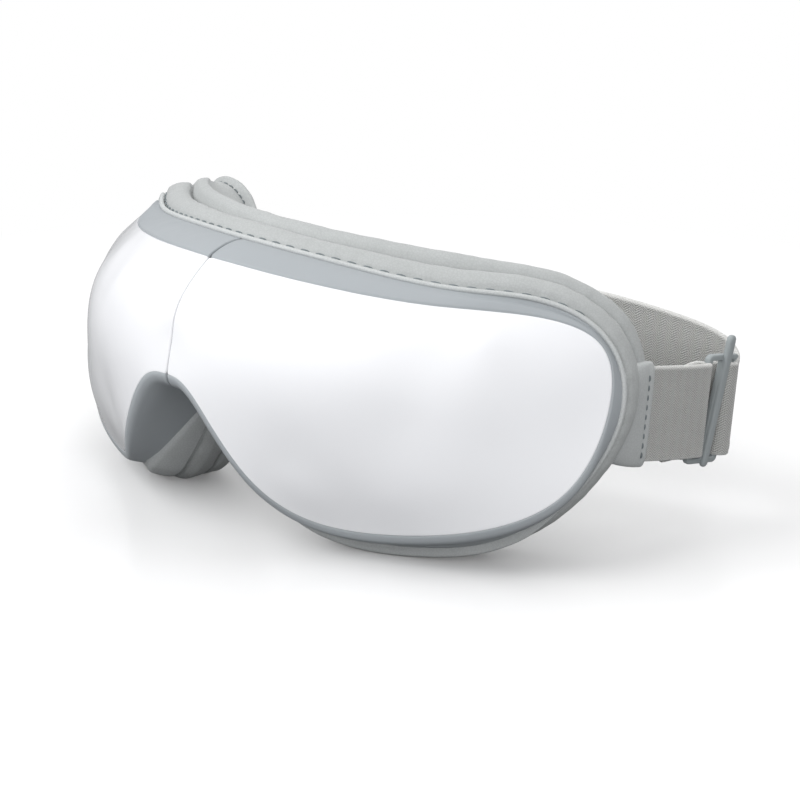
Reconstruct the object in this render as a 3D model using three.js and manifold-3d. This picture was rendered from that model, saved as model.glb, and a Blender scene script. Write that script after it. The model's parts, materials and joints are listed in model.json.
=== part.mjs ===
// Folding eye massager mask: two mirrored halves joined by a vertical pin, with an elastic strap.
// Millimetres. +Z up, the glossy front faces -Y, X = 0 is the plane between the halves and
// Z = 0 is the table it stands on. "Right" is +X, as seen from the front.
// Shells are drawn in unrolled coordinates (s, z, d): s runs along the curved front from X = 0,
// z is height and d is depth behind the front curve, towards the face.
import * as THREE from "three";
import { mergeVertices } from "three/addons/utils/BufferGeometryUtils.js";
import Module from "manifold-3d";

// ---- driving dimensions ----
// Parts are drawn with Y = 0 at the middle of the front; the group is set back by this much,
// so that its origin is the centre of the footprint.
const ORIGIN_Y = 64.18;
// The front curve's heading is TURN_1 q + TURN_3 q^3 radians, with q = s / CURVE_LENGTH.
const CURVE_LENGTH = 117.13;
const TURN_1 = 0.8328;
const TURN_3 = -0.2513;

// Closed outlines of one half, from the top centre round the temple and under the eye
// to the top of the nose arch: [s, z, d].
const SHELL_EDGE = [
  [0, 76.2, 13.8], [38.1, 74.1, 16.4], [72.3, 70.8, 21.6], [96.3, 68.5, 28.5],
  [119.6, 62.2, 31.2], [124.4, 44.2, 26.2], [115.9, 24.7, 17], [97.3, 14.6, 11.4],
  [73.8, 10.2, 10], [45.8, 10, 8.6], [26.3, 22.3, 1.2], [10.7, 42.2, -2.4], [0, 46, -2],
];
const RIM_EDGE = [
  [0, 79, 25.7], [39.7, 76.8, 27.7], [75.7, 73.1, 29.7], [100.7, 71.1, 33.2],
  [120.3, 62.9, 33.7], [127.1, 43.6, 29.1], [114.8, 20.9, 22.9], [94.4, 7.2, 21],
  [73, 2.9, 20.9], [43.8, 3.3, 21.5], [23.2, 16.7, 22.4], [8.6, 37.8, 25.2], [0, 41.5, 27.2],
];
const FRONT_DOME = { middleZ: 55.6, depth: 0, power: 2.176 };
const REAR_DOME = { middleZ: FRONT_DOME.middleZ - 8, depth: 26.4, power: 2 };
const SHELL_WALL = 2;
const HOUSING_WALL = 2;
const PART_GAP = 0.45;
const SEAM_GAP = 0.2; // from X = 0 to each half

const FOLD_AXIS_Y = 35;
const KNUCKLES = [[46.5, 51.6], [51.9, 57.2], [57.5, 62.4], [62.7, 68], [68.3, 73.5]]; // z from, to
const HINGE_LOW = KNUCKLES[0][0];
const HINGE_HIGH = KNUCKLES[4][1];
const HINGE_MID_Z = (HINGE_LOW + HINGE_HIGH) / 2;

const STRAP_WIDTH = 27.4;
const STRAP_THICK = 1.6;
const STRAP_LEAN = 0.1; // outward lean of the strap's upper edge, per mm of height
const STRAP_START = [94.6, 80.7, 38.7]; // at the right temple
const STRAP_TURN = [91.6, 115.4, 32.3]; // at the buckle

const SIDES = [["right", 1], ["left", -1]];

const wasm = await Module();
wasm.setup();

// ---- the curved frame ----
const PLAN_STEP = 0.25;
const PLAN_STEPS = 700;
// [x, y, heading] of the front curve at every PLAN_STEP of s
const planTable = [];
{
  let x = 0;
  let y = 0;
  let lastHeading = 0;
  for (let i = 0; i <= PLAN_STEPS; i++) {
    const q = Math.min((i * PLAN_STEP) / CURVE_LENGTH, 1);
    const heading = TURN_1 * q + TURN_3 * q ** 3;
    if (i) {
      x += (PLAN_STEP * (Math.cos(heading) + Math.cos(lastHeading))) / 2;
      y += (PLAN_STEP * (Math.sin(heading) + Math.sin(lastHeading))) / 2;
    }
    lastHeading = heading;
    planTable.push([x, y, heading]);
  }
}

function plan(s) {
  const position = Math.min(Math.max(s, 0) / PLAN_STEP, PLAN_STEPS - 0.001);
  const i = Math.floor(position);
  const part = position - i;
  return planTable[i].map((value, c) => value * (1 - part) + planTable[i + 1][c] * part);
}

// Point of the right half from its unrolled coordinates.
function place(s, z, d) {
  const [x, y, heading] = plan(s);
  return [x - d * Math.sin(heading) + Math.min(s, 0), y + d * Math.cos(heading), z];
}
const placeVector = (p) => new THREE.Vector3(...place(p.x, p.y, p.z));
const fromSeam = ([x, y, z]) => [Math.max(x, SEAM_GAP), y, z];

// ---- splines through the outlines ----
// Cubic spline over t = 0..1; its ends have no slope when flat, otherwise no curvature.
function spline(values, flat) {
  const count = values.length;
  const h = 1 / (count - 1);
  const scale = 6 / (h * h);
  // tridiagonal system for the second derivatives
  const below = [];
  const diagonal = [];
  const above = [];
  const right = [];
  for (let i = 0; i < count; i++) {
    if (i === 0 || i === count - 1) {
      const inner = i === 0 ? values[1] - values[0] : values[count - 2] - values[count - 1];
      below.push(flat && i ? 1 : 0);
      diagonal.push(flat ? 2 : 1);
      above.push(flat && !i ? 1 : 0);
      right.push(flat ? scale * inner : 0);
    } else {
      below.push(1);
      diagonal.push(4);
      above.push(1);
      right.push(scale * (values[i + 1] - 2 * values[i] + values[i - 1]));
    }
  }
  for (let i = 1; i < count; i++) {
    const factor = below[i] / diagonal[i - 1];
    diagonal[i] -= factor * above[i - 1];
    right[i] -= factor * right[i - 1];
  }
  const bend = new Array(count);
  for (let i = count - 1; i >= 0; i--) {
    const next = i < count - 1 ? above[i] * bend[i + 1] : 0;
    bend[i] = (right[i] - next) / diagonal[i];
  }
  return (t) => {
    const i = Math.min(Math.floor(t / h), count - 2);
    const p = (t - i * h) / h;
    const q = 1 - p;
    const curved = (q ** 3 - q) * bend[i] + (p ** 3 - p) * bend[i + 1];
    return q * values[i] + p * values[i + 1] + ((h * h) / 6) * curved;
  };
}

// Closed outline as a function of t, optionally moved outwards and deeper.
function outline(points) {
  const [sAt, zAt, dAt] = [0, 1, 2].map((c) => spline(points.map((p) => p[c]), c > 0));
  return (t, out = 0, deeper = 0) => {
    const before = Math.max(t - 1e-3, 0);
    const after = Math.min(t + 1e-3, 1);
    const ds = sAt(after) - sAt(before);
    const dz = t === 0 || t === 1 ? 0 : zAt(after) - zAt(before);
    const length = Math.hypot(ds, dz);
    return [
      Math.max(sAt(t), 0) - (dz / length) * out,
      zAt(t) + (ds / length) * out,
      dAt(t) + deeper,
    ];
  };
}
const shellEdge = outline(SHELL_EDGE);
const rimEdge = outline(RIM_EDGE);

// ---- smooth depth surfaces ----
const EDGE_SLACK = 1.5; // how loosely the surface follows its outline
const DOME_SLACK = 40; // how loosely it follows the dome

// Gaussian elimination; each row ends with its right-hand side.
function solve(rows) {
  const n = rows.length;
  for (let c = 0; c < n; c++) {
    let best = c;
    for (let r = c + 1; r < n; r++) {
      if (Math.abs(rows[r][c]) > Math.abs(rows[best][c])) best = r;
    }
    [rows[c], rows[best]] = [rows[best], rows[c]];
    for (let r = c + 1; r < n; r++) {
      const factor = rows[r][c] / rows[c][c];
      if (!factor) continue;
      for (let k = c; k <= n; k++) rows[r][k] -= factor * rows[c][k];
    }
  }
  const result = new Array(n);
  for (let r = n - 1; r >= 0; r--) {
    let value = rows[r][n];
    for (let k = r + 1; k < n; k++) value -= rows[r][k] * result[k];
    result[r] = value / rows[r][r];
  }
  return result;
}

// Thin plate spline through samples [s, z, depth, slack], even in s so that the halves
// meet without a crease.
function depthSurface(samples) {
  const bend = (ds, dz) => {
    const square = ds * ds + dz * dz;
    return square > 1e-12 ? 0.5 * square * Math.log(square) : 0;
  };
  const kernel = (s, z, p) => bend(s - p[0], z - p[1]) + bend(s + p[0], z - p[1]);
  const rows = samples.map((p, i) => [
    ...samples.map((q, j) => kernel(p[0], p[1], q) + (i === j ? p[3] : 0)),
    1, p[1], p[2],
  ]);
  rows.push([...samples.map(() => 1), 0, 0, 0]);
  rows.push([...samples.map((p) => p[1]), 0, 0, 0]);
  const weights = solve(rows);
  const [base, slope] = weights.slice(-2);
  return (s, z) =>
    samples.reduce((sum, p, i) => sum + weights[i] * kernel(s, z, p), base + slope * z);
}

// Known depths of one surface: its outline, and a dome over the upper and temple part of it.
function surfaceSamples(edge, { middleZ, depth, power }) {
  const samples = [[0, middleZ, depth, EDGE_SLACK]];
  for (let k = 0; k <= 48; k++) samples.push([...edge(k / 48), EDGE_SLACK]);
  for (let k = 0; k <= 9; k++) {
    const [s, z, d] = edge(k * 0.078);
    for (const ratio of k < 5 ? [0.3, 0.55, 0.8] : [0.6, 0.8]) {
      samples.push([
        s * ratio,
        middleZ + (z - middleZ) * ratio,
        depth + (d - depth) * ratio ** power,
        DOME_SLACK,
      ]);
    }
  }
  return samples;
}
const frontDepth = depthSurface(surfaceSamples(shellEdge, FRONT_DOME));
const rearDepth = depthSurface(surfaceSamples(rimEdge, REAR_DOME));

// Point of the front surface moved inwards along its normal.
function frontPoint(s, z, inwards) {
  const e = 0.05;
  const slopeS = (frontDepth(s + e, z) - frontDepth(s - e, z)) / (2 * e);
  const slopeZ = (frontDepth(s, z + e) - frontDepth(s, z - e)) / (2 * e);
  const length = Math.hypot(slopeS, slopeZ, 1);
  return [
    s - (inwards * slopeS) / length,
    z - (inwards * slopeZ) / length,
    frontDepth(s, z) + inwards / length,
  ];
}

// The shell thins where the housing comes close behind it.
function shellWall(s, z) {
  const room = rearDepth(s, z) - frontDepth(s, z);
  return THREE.MathUtils.clamp(0.45 * room - 0.25, 0.6, SHELL_WALL);
}

// ---- a four-sided grid over one half: seam, top edge, temple, bottom edge ----
const COLUMNS = 12;
const ROWS = 8;
const BAND_RINGS = 2; // rings of the housing's side band
const GRID_COLUMNS = COLUMNS + BAND_RINGS;
const GRID_ROWS = ROWS + 2 * BAND_RINGS;
const CORNER_S = 104; // where the temple side starts on the top and bottom edges

// Place along the shell's outline where it is s from the seam; s grows from low to high.
function atLength(low, high, s) {
  for (let k = 0; k < 40; k++) {
    const middle = (low + high) / 2;
    if (shellEdge(middle)[0] < s) low = middle;
    else high = middle;
  }
  return (low + high) / 2;
}
const topT = (part) => (part < 1e-9 ? 0 : atLength(0, 0.34, part * CORNER_S));
const bottomT = (part) => (part < 1e-9 ? 1 : atLength(1, 0.5, part * CORNER_S));
const TOP_CORNER_T = topT(1);
const BOTTOM_CORNER_T = bottomT(1);
const templeT = (part) => BOTTOM_CORNER_T + (TOP_CORNER_T - BOTTOM_CORNER_T) * part;

// Point [s, z] of the patch inside an outline; u = 0 at the seam, where it is straight,
// and v = 0 at the bottom.
function patch(edge, u, v, out = 0) {
  const at = (t) => edge(t, out);
  const top = at(topT(u));
  const bottom = at(bottomT(u));
  const temple = at(templeT(v));
  const lowCorner = at(BOTTOM_CORNER_T);
  const highCorner = at(TOP_CORNER_T);
  return [0, 1].map((c) => {
    const chord = (1 - v) * lowCorner[c] + v * highCorner[c];
    return (1 - v) * bottom[c] + v * top[c] + u * (temple[c] - chord);
  });
}

// Grid with extra rings outside it: gives the ring number and either (u, v), in the grid,
// or the place t along the outline.
function gridPlace(i, j, rings) {
  const row = j - rings;
  const ring = Math.max(i - COLUMNS, -row, row - ROWS, 0);
  if (!ring) return { ring, u: i / COLUMNS, v: row / ROWS };
  if (row === ROWS + ring) return { ring, t: topT(i / (COLUMNS + ring)) };
  if (row === -ring) return { ring, t: bottomT(i / (COLUMNS + ring)) };
  return { ring, t: templeT((row + ring) / (ROWS + 2 * ring)) };
}

// ---- geometry helpers ----
const WELD = 1e-4;

function facingOut(geometry) {
  const p = geometry.attributes.position.array;
  const index = geometry.index.array;
  let volume = 0;
  for (let i = 0; i < index.length; i += 3) {
    const [a, b, c] = [index[i] * 3, index[i + 1] * 3, index[i + 2] * 3];
    volume +=
      p[a] * (p[b + 1] * p[c + 2] - p[b + 2] * p[c + 1]) -
      p[a + 1] * (p[b] * p[c + 2] - p[b + 2] * p[c]) +
      p[a + 2] * (p[b] * p[c + 1] - p[b + 1] * p[c]);
  }
  if (volume < 0) {
    for (let i = 0; i < index.length; i += 3) {
      [index[i + 1], index[i + 2]] = [index[i + 2], index[i + 1]];
    }
  }
  return geometry;
}
const mirrored = (geometry) => facingOut(geometry.clone().scale(-1, 1, 1));
const forSide = (side, geometry) => (side > 0 ? geometry : mirrored(geometry));

function weldedPoints(coordinates) {
  const geometry = new THREE.BufferGeometry();
  geometry.setAttribute("position", new THREE.BufferAttribute(new Float32Array(coordinates), 3));
  return facingOut(mergeVertices(geometry, WELD));
}

// Keeps positions only and welds them.
function bare(geometry) {
  geometry.deleteAttribute("normal");
  geometry.deleteAttribute("uv");
  return mergeVertices(geometry, WELD);
}
const tidy = (geometry) => facingOut(bare(geometry));

function solid(geometry) {
  const welded = bare(geometry.clone());
  const mesh = new wasm.Mesh({
    numProp: 3,
    vertProperties: new Float32Array(welded.attributes.position.array),
    triVerts: new Uint32Array(welded.index.array),
  });
  return new wasm.Manifold(mesh);
}

function geometryOf(manifold) {
  const mesh = manifold.getMesh();
  const geometry = new THREE.BufferGeometry();
  const positions = new Float32Array(mesh.vertProperties);
  geometry.setAttribute("position", new THREE.BufferAttribute(positions, 3));
  geometry.setIndex(new THREE.BufferAttribute(new Uint32Array(mesh.triVerts), 1));
  return geometry;
}
const union = (solids) => solids.reduce((a, b) => a.add(b));
const without = (body, cuts) => cuts.reduce((a, cut) => a.subtract(cut), body);

const pushTriangle = (out, a, b, c) => out.push(...a, ...b, ...c);
function pushQuad(out, a, b, c, d) {
  pushTriangle(out, a, b, c);
  pushTriangle(out, a, c, d);
}

// One closed solid between two sheets of the same grid; sheet(i, j, side) gives a point.
function between(columns, rows, sheet) {
  const out = [];
  const [g, h] = [0, 1].map((side) =>
    Array.from({ length: columns + 1 }, (_, i) =>
      Array.from({ length: rows + 1 }, (_, j) => sheet(i, j, side))));
  for (let i = 0; i < columns; i++) {
    for (let j = 0; j < rows; j++) {
      pushQuad(out, g[i][j], g[i + 1][j], g[i + 1][j + 1], g[i][j + 1]);
      pushQuad(out, h[i][j], h[i][j + 1], h[i + 1][j + 1], h[i + 1][j]);
    }
  }
  for (let i = 0; i < columns; i++) {
    pushQuad(out, g[i][0], h[i][0], h[i + 1][0], g[i + 1][0]);
    pushQuad(out, g[i][rows], g[i + 1][rows], h[i + 1][rows], h[i][rows]);
  }
  for (let j = 0; j < rows; j++) {
    pushQuad(out, g[0][j], g[0][j + 1], h[0][j + 1], h[0][j]);
    pushQuad(out, g[columns][j], h[columns][j], h[columns][j + 1], g[columns][j + 1]);
  }
  return weldedPoints(out);
}

// A ring of points in space as 2D points, for filling it.
function flattened(ring) {
  const points = ring.map((p) => new THREE.Vector3(...p).sub(new THREE.Vector3(...ring[0])));
  const normal = new THREE.Vector3();
  for (let i = 1; i < points.length - 1; i++) {
    normal.add(new THREE.Vector3().crossVectors(points[i], points[i + 1]));
  }
  normal.normalize();
  const farthest = points.reduce((a, b) => (b.length() > a.length() ? b : a));
  const axis1 = farthest.clone().normalize();
  const axis2 = new THREE.Vector3().crossVectors(normal, axis1);
  return points.map((p) => new THREE.Vector2(p.dot(axis1), p.dot(axis2)));
}

// A closed section swept through stations; ringAt(k) gives the section's points.
function swept(count, ringAt) {
  const out = [];
  const rings = Array.from({ length: count }, (_, k) => ringAt(k));
  const sides = rings[0].length;
  for (let k = 0; k < count - 1; k++) {
    for (let i = 0; i < sides; i++) {
      const j = (i + 1) % sides;
      pushQuad(out, rings[k][i], rings[k + 1][i], rings[k + 1][j], rings[k][j]);
    }
  }
  const first = rings[0];
  for (const [a, b, c] of THREE.ShapeUtils.triangulateShape(flattened(first), [])) {
    pushTriangle(out, first[a], first[b], first[c]);
  }
  const last = rings[count - 1];
  for (const [a, b, c] of THREE.ShapeUtils.triangulateShape(flattened(last), [])) {
    pushTriangle(out, last[a], last[c], last[b]);
  }
  return weldedPoints(out);
}

// Turned part standing along +Z; points are [radius, height].
function lathe(points, segments = 20) {
  const profile = points.map(([x, y]) => new THREE.Vector2(x, y));
  return new THREE.LatheGeometry(profile, segments).rotateX(Math.PI / 2);
}
function rod(radius, height, baseZ, segments) {
  const profile = [[0, 0], [radius, 0], [radius, height], [0, height]];
  return lathe(profile, segments).translate(0, 0, baseZ);
}

// Polygon of [x, y] points extruded upwards.
function prism(points, height, baseZ = 0) {
  const shape = new THREE.Shape(points.map(([x, y]) => new THREE.Vector2(x, y)));
  const geometry = new THREE.ExtrudeGeometry(shape, { depth: height, bevelEnabled: false });
  return geometry.translate(0, 0, baseZ);
}

// Bar with rounded corners, extruded along +Z; its ends are nearly half round by default.
function roundedBar({ width, height, depth, base, corner = height / 2 - 0.01 }) {
  const x = width / 2 - corner;
  const y = height / 2 - corner;
  const quarter = Math.PI / 2;
  const shape = new THREE.Shape();
  shape.moveTo(-x, -y - corner);
  shape.lineTo(x, -y - corner);
  shape.absarc(x, -y, corner, -quarter, 0);
  shape.lineTo(x + corner, y);
  shape.absarc(x, y, corner, 0, quarter);
  shape.lineTo(-x, y + corner);
  shape.absarc(-x, y, corner, quarter, 2 * quarter);
  shape.lineTo(-x - corner, -y);
  shape.absarc(-x, -y, corner, 2 * quarter, 3 * quarter);
  const settings = { depth, bevelEnabled: false, curveSegments: 4 };
  return new THREE.ExtrudeGeometry(shape, settings).translate(0, 0, base);
}

// ---- materials ----
const paint = (settings) => new THREE.MeshStandardMaterial(settings);
const GLOSS_WHITE = paint({ color: 0xf3f4f6, roughness: 0.12 });
const SATIN_GREY = paint({ color: 0x9fa9af, roughness: 0.42 });
const LEATHER = paint({ color: 0xb4babb, roughness: 0.55 });
const WEBBING = paint({ color: 0x9d9d99, roughness: 0.85 });
const INNER_PLASTIC = paint({ color: 0x55585b, roughness: 0.6 });
const STEEL = paint({ color: 0xb5b8bb, roughness: 0.3, metalness: 1 });
const BOARD = paint({ color: 0x1f5a3a, roughness: 0.5 });
const CELL = paint({ color: 0x8d949a, roughness: 0.45 });
const SILICONE = paint({ color: 0xcfd2cf, roughness: 0.6 });
const BLACK = paint({ color: 0x202123, roughness: 0.5 });
const LINING = paint({ color: 0xc3c6c6, roughness: 0.75 });
const FOIL = paint({ color: 0xb9783a, roughness: 0.5 });

// ---- the group ----
const mask = new THREE.Group();
mask.position.y = -ORIGIN_Y;

function add(name, geometry, material, position = [0, 0, 0], turn = [0, 0, 0]) {
  const mesh = new THREE.Mesh(geometry, material);
  mesh.name = name;
  mesh.position.set(...position);
  mesh.rotation.set(...turn);
  mask.add(mesh);
}
function addPair(name, geometry, material) {
  for (const [label, side] of SIDES) add(`${name}_${label}`, forSide(side, geometry), material);
}
// Adds a part at (s, z, d) of one half, turned to the front's heading there.
function addSeated(name, geometry, material, side, [s, z, d]) {
  const [x, y] = place(s, z, d);
  add(name, geometry, material, [side * x, y, z], [0, 0, side * plan(s)[2]]);
}

// ---- front shell ----
function shellPoint(i, j, side) {
  const [s, z] = patch(shellEdge, i / GRID_COLUMNS, j / GRID_ROWS);
  const p = frontPoint(s, z, side ? shellWall(s, z) : 0);
  return fromSeam(place(Math.max(p[0], 0), p[1], p[2]));
}
addPair("front_shell", between(GRID_COLUMNS, GRID_ROWS, shellPoint), GLOSS_WHITE);

// ---- rear housing: side band behind the front shell's edge, closed by the plate that ----
// ---- carries the cushion ----
// In this section vectors hold (s, z, d).

// The band starts just beyond the shell's edge, in line with its outer or inner face.
function bandStart(t, inside) {
  const [s, z] = shellEdge(t);
  const [outS, outZ] = shellEdge(t, 1);
  const outer = new THREE.Vector3(...frontPoint(s, z, 0));
  const beyond = new THREE.Vector3(...frontPoint(outS, outZ, 0));
  const start = new THREE.Vector3(...frontPoint(s, z, inside ? shellWall(s, z) + 0.55 : 0));
  return start.addScaledVector(beyond.sub(outer).normalize(), PART_GAP);
}

function rimPoint(t, inside) {
  const [s, z, d] = rimEdge(t, inside ? -HOUSING_WALL : 0);
  const depth = inside ? Math.max(d - HOUSING_WALL, bandStart(t, true).z + 0.15) : d;
  return new THREE.Vector3(s, z, depth);
}

// Point of the plate within the rim; the inner face keeps clear of the front shell.
function platePoint(u, v, inside) {
  const [s, z] = patch(rimEdge, u, v, inside ? -HOUSING_WALL : 0);
  const rear = rearDepth(s, z);
  if (!inside) return new THREE.Vector3(s, z, rear);
  const clear = frontPoint(s, z, shellWall(s, z) + 0.4)[2];
  return new THREE.Vector3(s, z, Math.max(rear - HOUSING_WALL, clear));
}

// grow swells the outer sheet away from the middle of the half and towards the face.
function housingPoint(i, j, side, grow = 0) {
  const { ring, t, u, v } = gridPlace(i, j, BAND_RINGS);
  let p;
  if (ring) p = rimPoint(t, side).lerp(bandStart(t, side), ring / BAND_RINGS);
  else if (v === 1) p = rimPoint(topT(u), side);
  else if (v === 0) p = rimPoint(bottomT(u), side);
  else if (u === 1) p = rimPoint(templeT(v), side);
  else p = platePoint(u, v, side);
  if (grow && !side) {
    const [middleS, middleZ] = [60, 42];
    const distance = Math.hypot(p.x - middleS, p.y - middleZ) + 1e-6;
    if (p.x > 1) p.x += ((p.x - middleS) / distance) * grow;
    p.z += grow;
  }
  return fromSeam(place(Math.max(p.x, 0), p.y, p.z));
}

// ---- button and charging socket, in the underside band of the right half ----
const BUTTON_T = 0.7; // places along the outline
const PORT_T = 0.645;
const CAP = { width: 8, height: 4.2 };
const PORT = { width: 9.2, height: 3.4 };

// Frame on the underside band: x along the edge, y across the band, z outwards.
function undersideFrame(t) {
  const middle = (q) =>
    placeVector(bandStart(q, false).lerp(rimPoint(q, false), 0.45));
  const along = middle(t - 0.01).sub(middle(t + 0.01)).normalize();
  const across = placeVector(rimPoint(t, false)).sub(placeVector(bandStart(t, false)));
  across.normalize();
  const out = new THREE.Vector3().crossVectors(along, across).normalize();
  if (out.z > 0) out.negate();
  across.crossVectors(out, along);
  return new THREE.Matrix4().makeBasis(along, across, out).setPosition(middle(t));
}
const buttonFrame = undersideFrame(BUTTON_T);
const portFrame = undersideFrame(PORT_T);

// Opening for a bar of the given size, with a gap all round.
function opening({ width, height }, gap, frame) {
  const bar = { width: width + 2 * gap, height: height + 2 * gap, depth: 8, base: -6 };
  return solid(roundedBar(bar).applyMatrix4(frame));
}
{
  const housing = between(GRID_COLUMNS, GRID_ROWS, (i, j, side) => housingPoint(i, j, side));
  const cuts = [opening(CAP, 0.4, buttonFrame), opening(PORT, 0.3, portFrame)];
  add("rear_housing_right", geometryOf(without(solid(housing), cuts)), SATIN_GREY);
  add("rear_housing_left", mirrored(housing), SATIN_GREY);
}

function powerButton() {
  const cap = roundedBar({ ...CAP, depth: 4.6, base: -3.8 });
  const flange = roundedBar({ width: 9.6, height: 5.3, corner: 2.6, depth: 0.9, base: -4.3 });
  return geometryOf(solid(cap).add(solid(flange))).applyMatrix4(buttonFrame);
}
add("power_button", powerButton(), GLOSS_WHITE);

function usbPort() {
  const wall = 0.4;
  const cavity = { width: PORT.width - 2 * wall, height: PORT.height - 2 * wall };
  const can = solid(roundedBar({ ...PORT, depth: 5.4, base: -5.8 }));
  const tongue = solid(new THREE.BoxGeometry(6.6, 0.7, 4.2).translate(0, 0, -3.4));
  const hollow = can.subtract(solid(roundedBar({ ...cavity, depth: 7, base: -5.1 })));
  return geometryOf(hollow.add(tongue)).applyMatrix4(portFrame);
}
add("usb_port", usbPort(), STEEL);

// ---- seam walls close each half where they meet; a flat cable passes through them ----
const CABLE = { y: 19, z: 57, length: 11, thick: 0.7, width: 7 };
const CABLE_GAP = 0.4;

// Profile [y, z] of the space inside the shells at the seam.
function seamProfile() {
  const profile = [];
  const top = shellEdge(0)[1];
  const low = shellEdge(1)[1];
  for (let k = 0; k <= 16; k++) {
    const p = frontPoint(0, top + ((low - top) * k) / 16, SHELL_WALL);
    profile.push([p[2], p[1]]);
  }
  const rearLow = rimPoint(1, true).y;
  const rearTop = rimPoint(0, true).y;
  for (let k = 0; k <= 8; k++) {
    const z = rearLow + ((rearTop - rearLow) * k) / 8;
    profile.push([rearDepth(0, z) - HOUSING_WALL, z]);
  }
  return profile;
}

function seamWall() {
  const [middleY, middleZ] = [12, 60];
  const inset = 1.4;
  const points = seamProfile().map(([y, z]) => {
    const ratio = 1 - inset / Math.hypot(y - middleY, z - middleZ);
    return [middleY + (y - middleY) * ratio, middleZ + (z - middleZ) * ratio];
  });
  // the prism's x, y become model y, z and its height becomes model x
  const upright = new THREE.Matrix4().set(
    0, 0, 1, SEAM_GAP + 0.3,
    1, 0, 0, 0,
    0, 1, 0, 0,
    0, 0, 0, 1,
  );
  const wall = prism(points, 1.6).applyMatrix4(upright);
  const window = new THREE.BoxGeometry(6, CABLE.thick + 2 * CABLE_GAP, CABLE.width + 2 * CABLE_GAP);
  window.translate(2, CABLE.y, CABLE.z);
  return geometryOf(solid(wall).subtract(solid(window)));
}
addPair("seam_wall", seamWall(), INNER_PLASTIC);
const cable = new THREE.BoxGeometry(CABLE.length, CABLE.thick, CABLE.width);
add("hinge_cable", cable, FOIL, [0, CABLE.y, CABLE.z]);

// ---- the strap's straight part on the right ----
const strapRun = new THREE.Vector3(STRAP_TURN[0] - STRAP_START[0], STRAP_TURN[1] - STRAP_START[1], 0);
const strapSlope = (STRAP_TURN[2] - STRAP_START[2]) / strapRun.length();
const strapDirection = strapRun.clone().normalize();
const strapOut = new THREE.Vector3(strapDirection.y, -strapDirection.x, 0);
const strapAngle = Math.atan2(strapDirection.y, strapDirection.x);

// Block that holds the strap at the temple, all its faces moved out by grow.
function anchorBlock(grow) {
  const block = new THREE.BoxGeometry(4 + 2 * grow, 16 + 2 * grow, 30 + 2 * grow);
  block.rotateZ(strapAngle - Math.PI / 2);
  return block.translate(STRAP_START[0] - 0.2, STRAP_START[1], STRAP_START[2]);
}

// ---- face cushion: a padded ring on the rear housing ----
const CUSHION_STATIONS = 34;
// Section of the ring: [outwards from the rim, depth behind it].
const CUSHION_SECTION = [
  [-0.6, -0.6], [1.8, 2.2], [3.0, 5.2], [2.4, 8.6], [2.9, 11.8], [2.2, 15.6],
  [-1.4, 18.6], [-6.2, 19], [-10.6, 16.6], [-12.5, 11], [-12.3, 4.6], [-11.5, -4],
];
const NOTCH_HALF_ANGLE = (57.5 * Math.PI) / 180;
const NOTCH_REACH = 90;

function cushionRing(k) {
  const t = k / (CUSHION_STATIONS - 1);
  // the upper edge stands further out over the brow
  const browLift = 2 * Math.exp(-(((t - 0.2) / 0.11) ** 2));
  // the ring's inner side narrows towards the seam
  const narrowing = Math.max(0, 1 - Math.min(t, 1 - t) / 0.1) * 0.25;
  return CUSHION_SECTION.map(([out, deep]) => {
    const lift = browLift * THREE.MathUtils.clamp(deep / 12, 0, 1) * (out > -5 ? 1 : 0.3);
    const width = out > 0 ? out : out * (1 - narrowing);
    const [s, z, d] = rimEdge(t, width + lift, deep);
    const p = place(s, Math.max(z, 0), d);
    if (t === 0 || t === 1) p[0] = SEAM_GAP;
    return fromSeam(p);
  });
}

// The space the housing's plate takes, with a gap.
function plateSpace() {
  return solid(between(COLUMNS + 1, ROWS + 2, (i, j, side) => {
    const { ring, t, u, v } = gridPlace(i, j, 1);
    let [s, z, d] = ring ? rimEdge(t, 8) : patch(rimEdge, u, v);
    if (!ring) d = rearDepth(s, z);
    const p = place(Math.max(s, 0), z, d + (side ? -9 : PART_GAP));
    return i === 0 ? [-0.4, p[1], p[2]] : p;
  }));
}

// The wedge of space the fold needs behind the pin.
function foldNotch() {
  const x = NOTCH_REACH * Math.sin(NOTCH_HALF_ANGLE);
  const y = NOTCH_REACH * Math.cos(NOTCH_HALF_ANGLE);
  return solid(prism([[0, 0], [x, y], [-x, y]], 120).translate(0, FOLD_AXIS_Y - 1.2, -10));
}

function faceCushion() {
  const hingeSpace = new THREE.BoxGeometry(36, 16, 40).translate(0, FOLD_AXIS_Y - 4.2, HINGE_MID_Z);
  const grownHousing = between(GRID_COLUMNS, GRID_ROWS, (i, j, side) =>
    housingPoint(i, j, side, 0.3));
  const cut = without(solid(swept(CUSHION_STATIONS, cushionRing)), [
    plateSpace(),
    foldNotch(),
    solid(hingeSpace),
    solid(anchorBlock(0.4)),
    solid(grownHousing),
  ]);
  // weld the result, then keep its largest piece
  const pieces = solid(geometryOf(cut)).decompose();
  return geometryOf(pieces.reduce((a, b) => (b.volume() > a.volume() ? b : a)));
}
addPair("face_cushion", faceCushion(), LEATHER);

// ---- sheets inside the cushion ring: oval slabs that follow the plate ----
const OVAL_S = 67.6;
const OVAL_Z = 38.2;
const OVAL_CELLS = 6;

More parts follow.
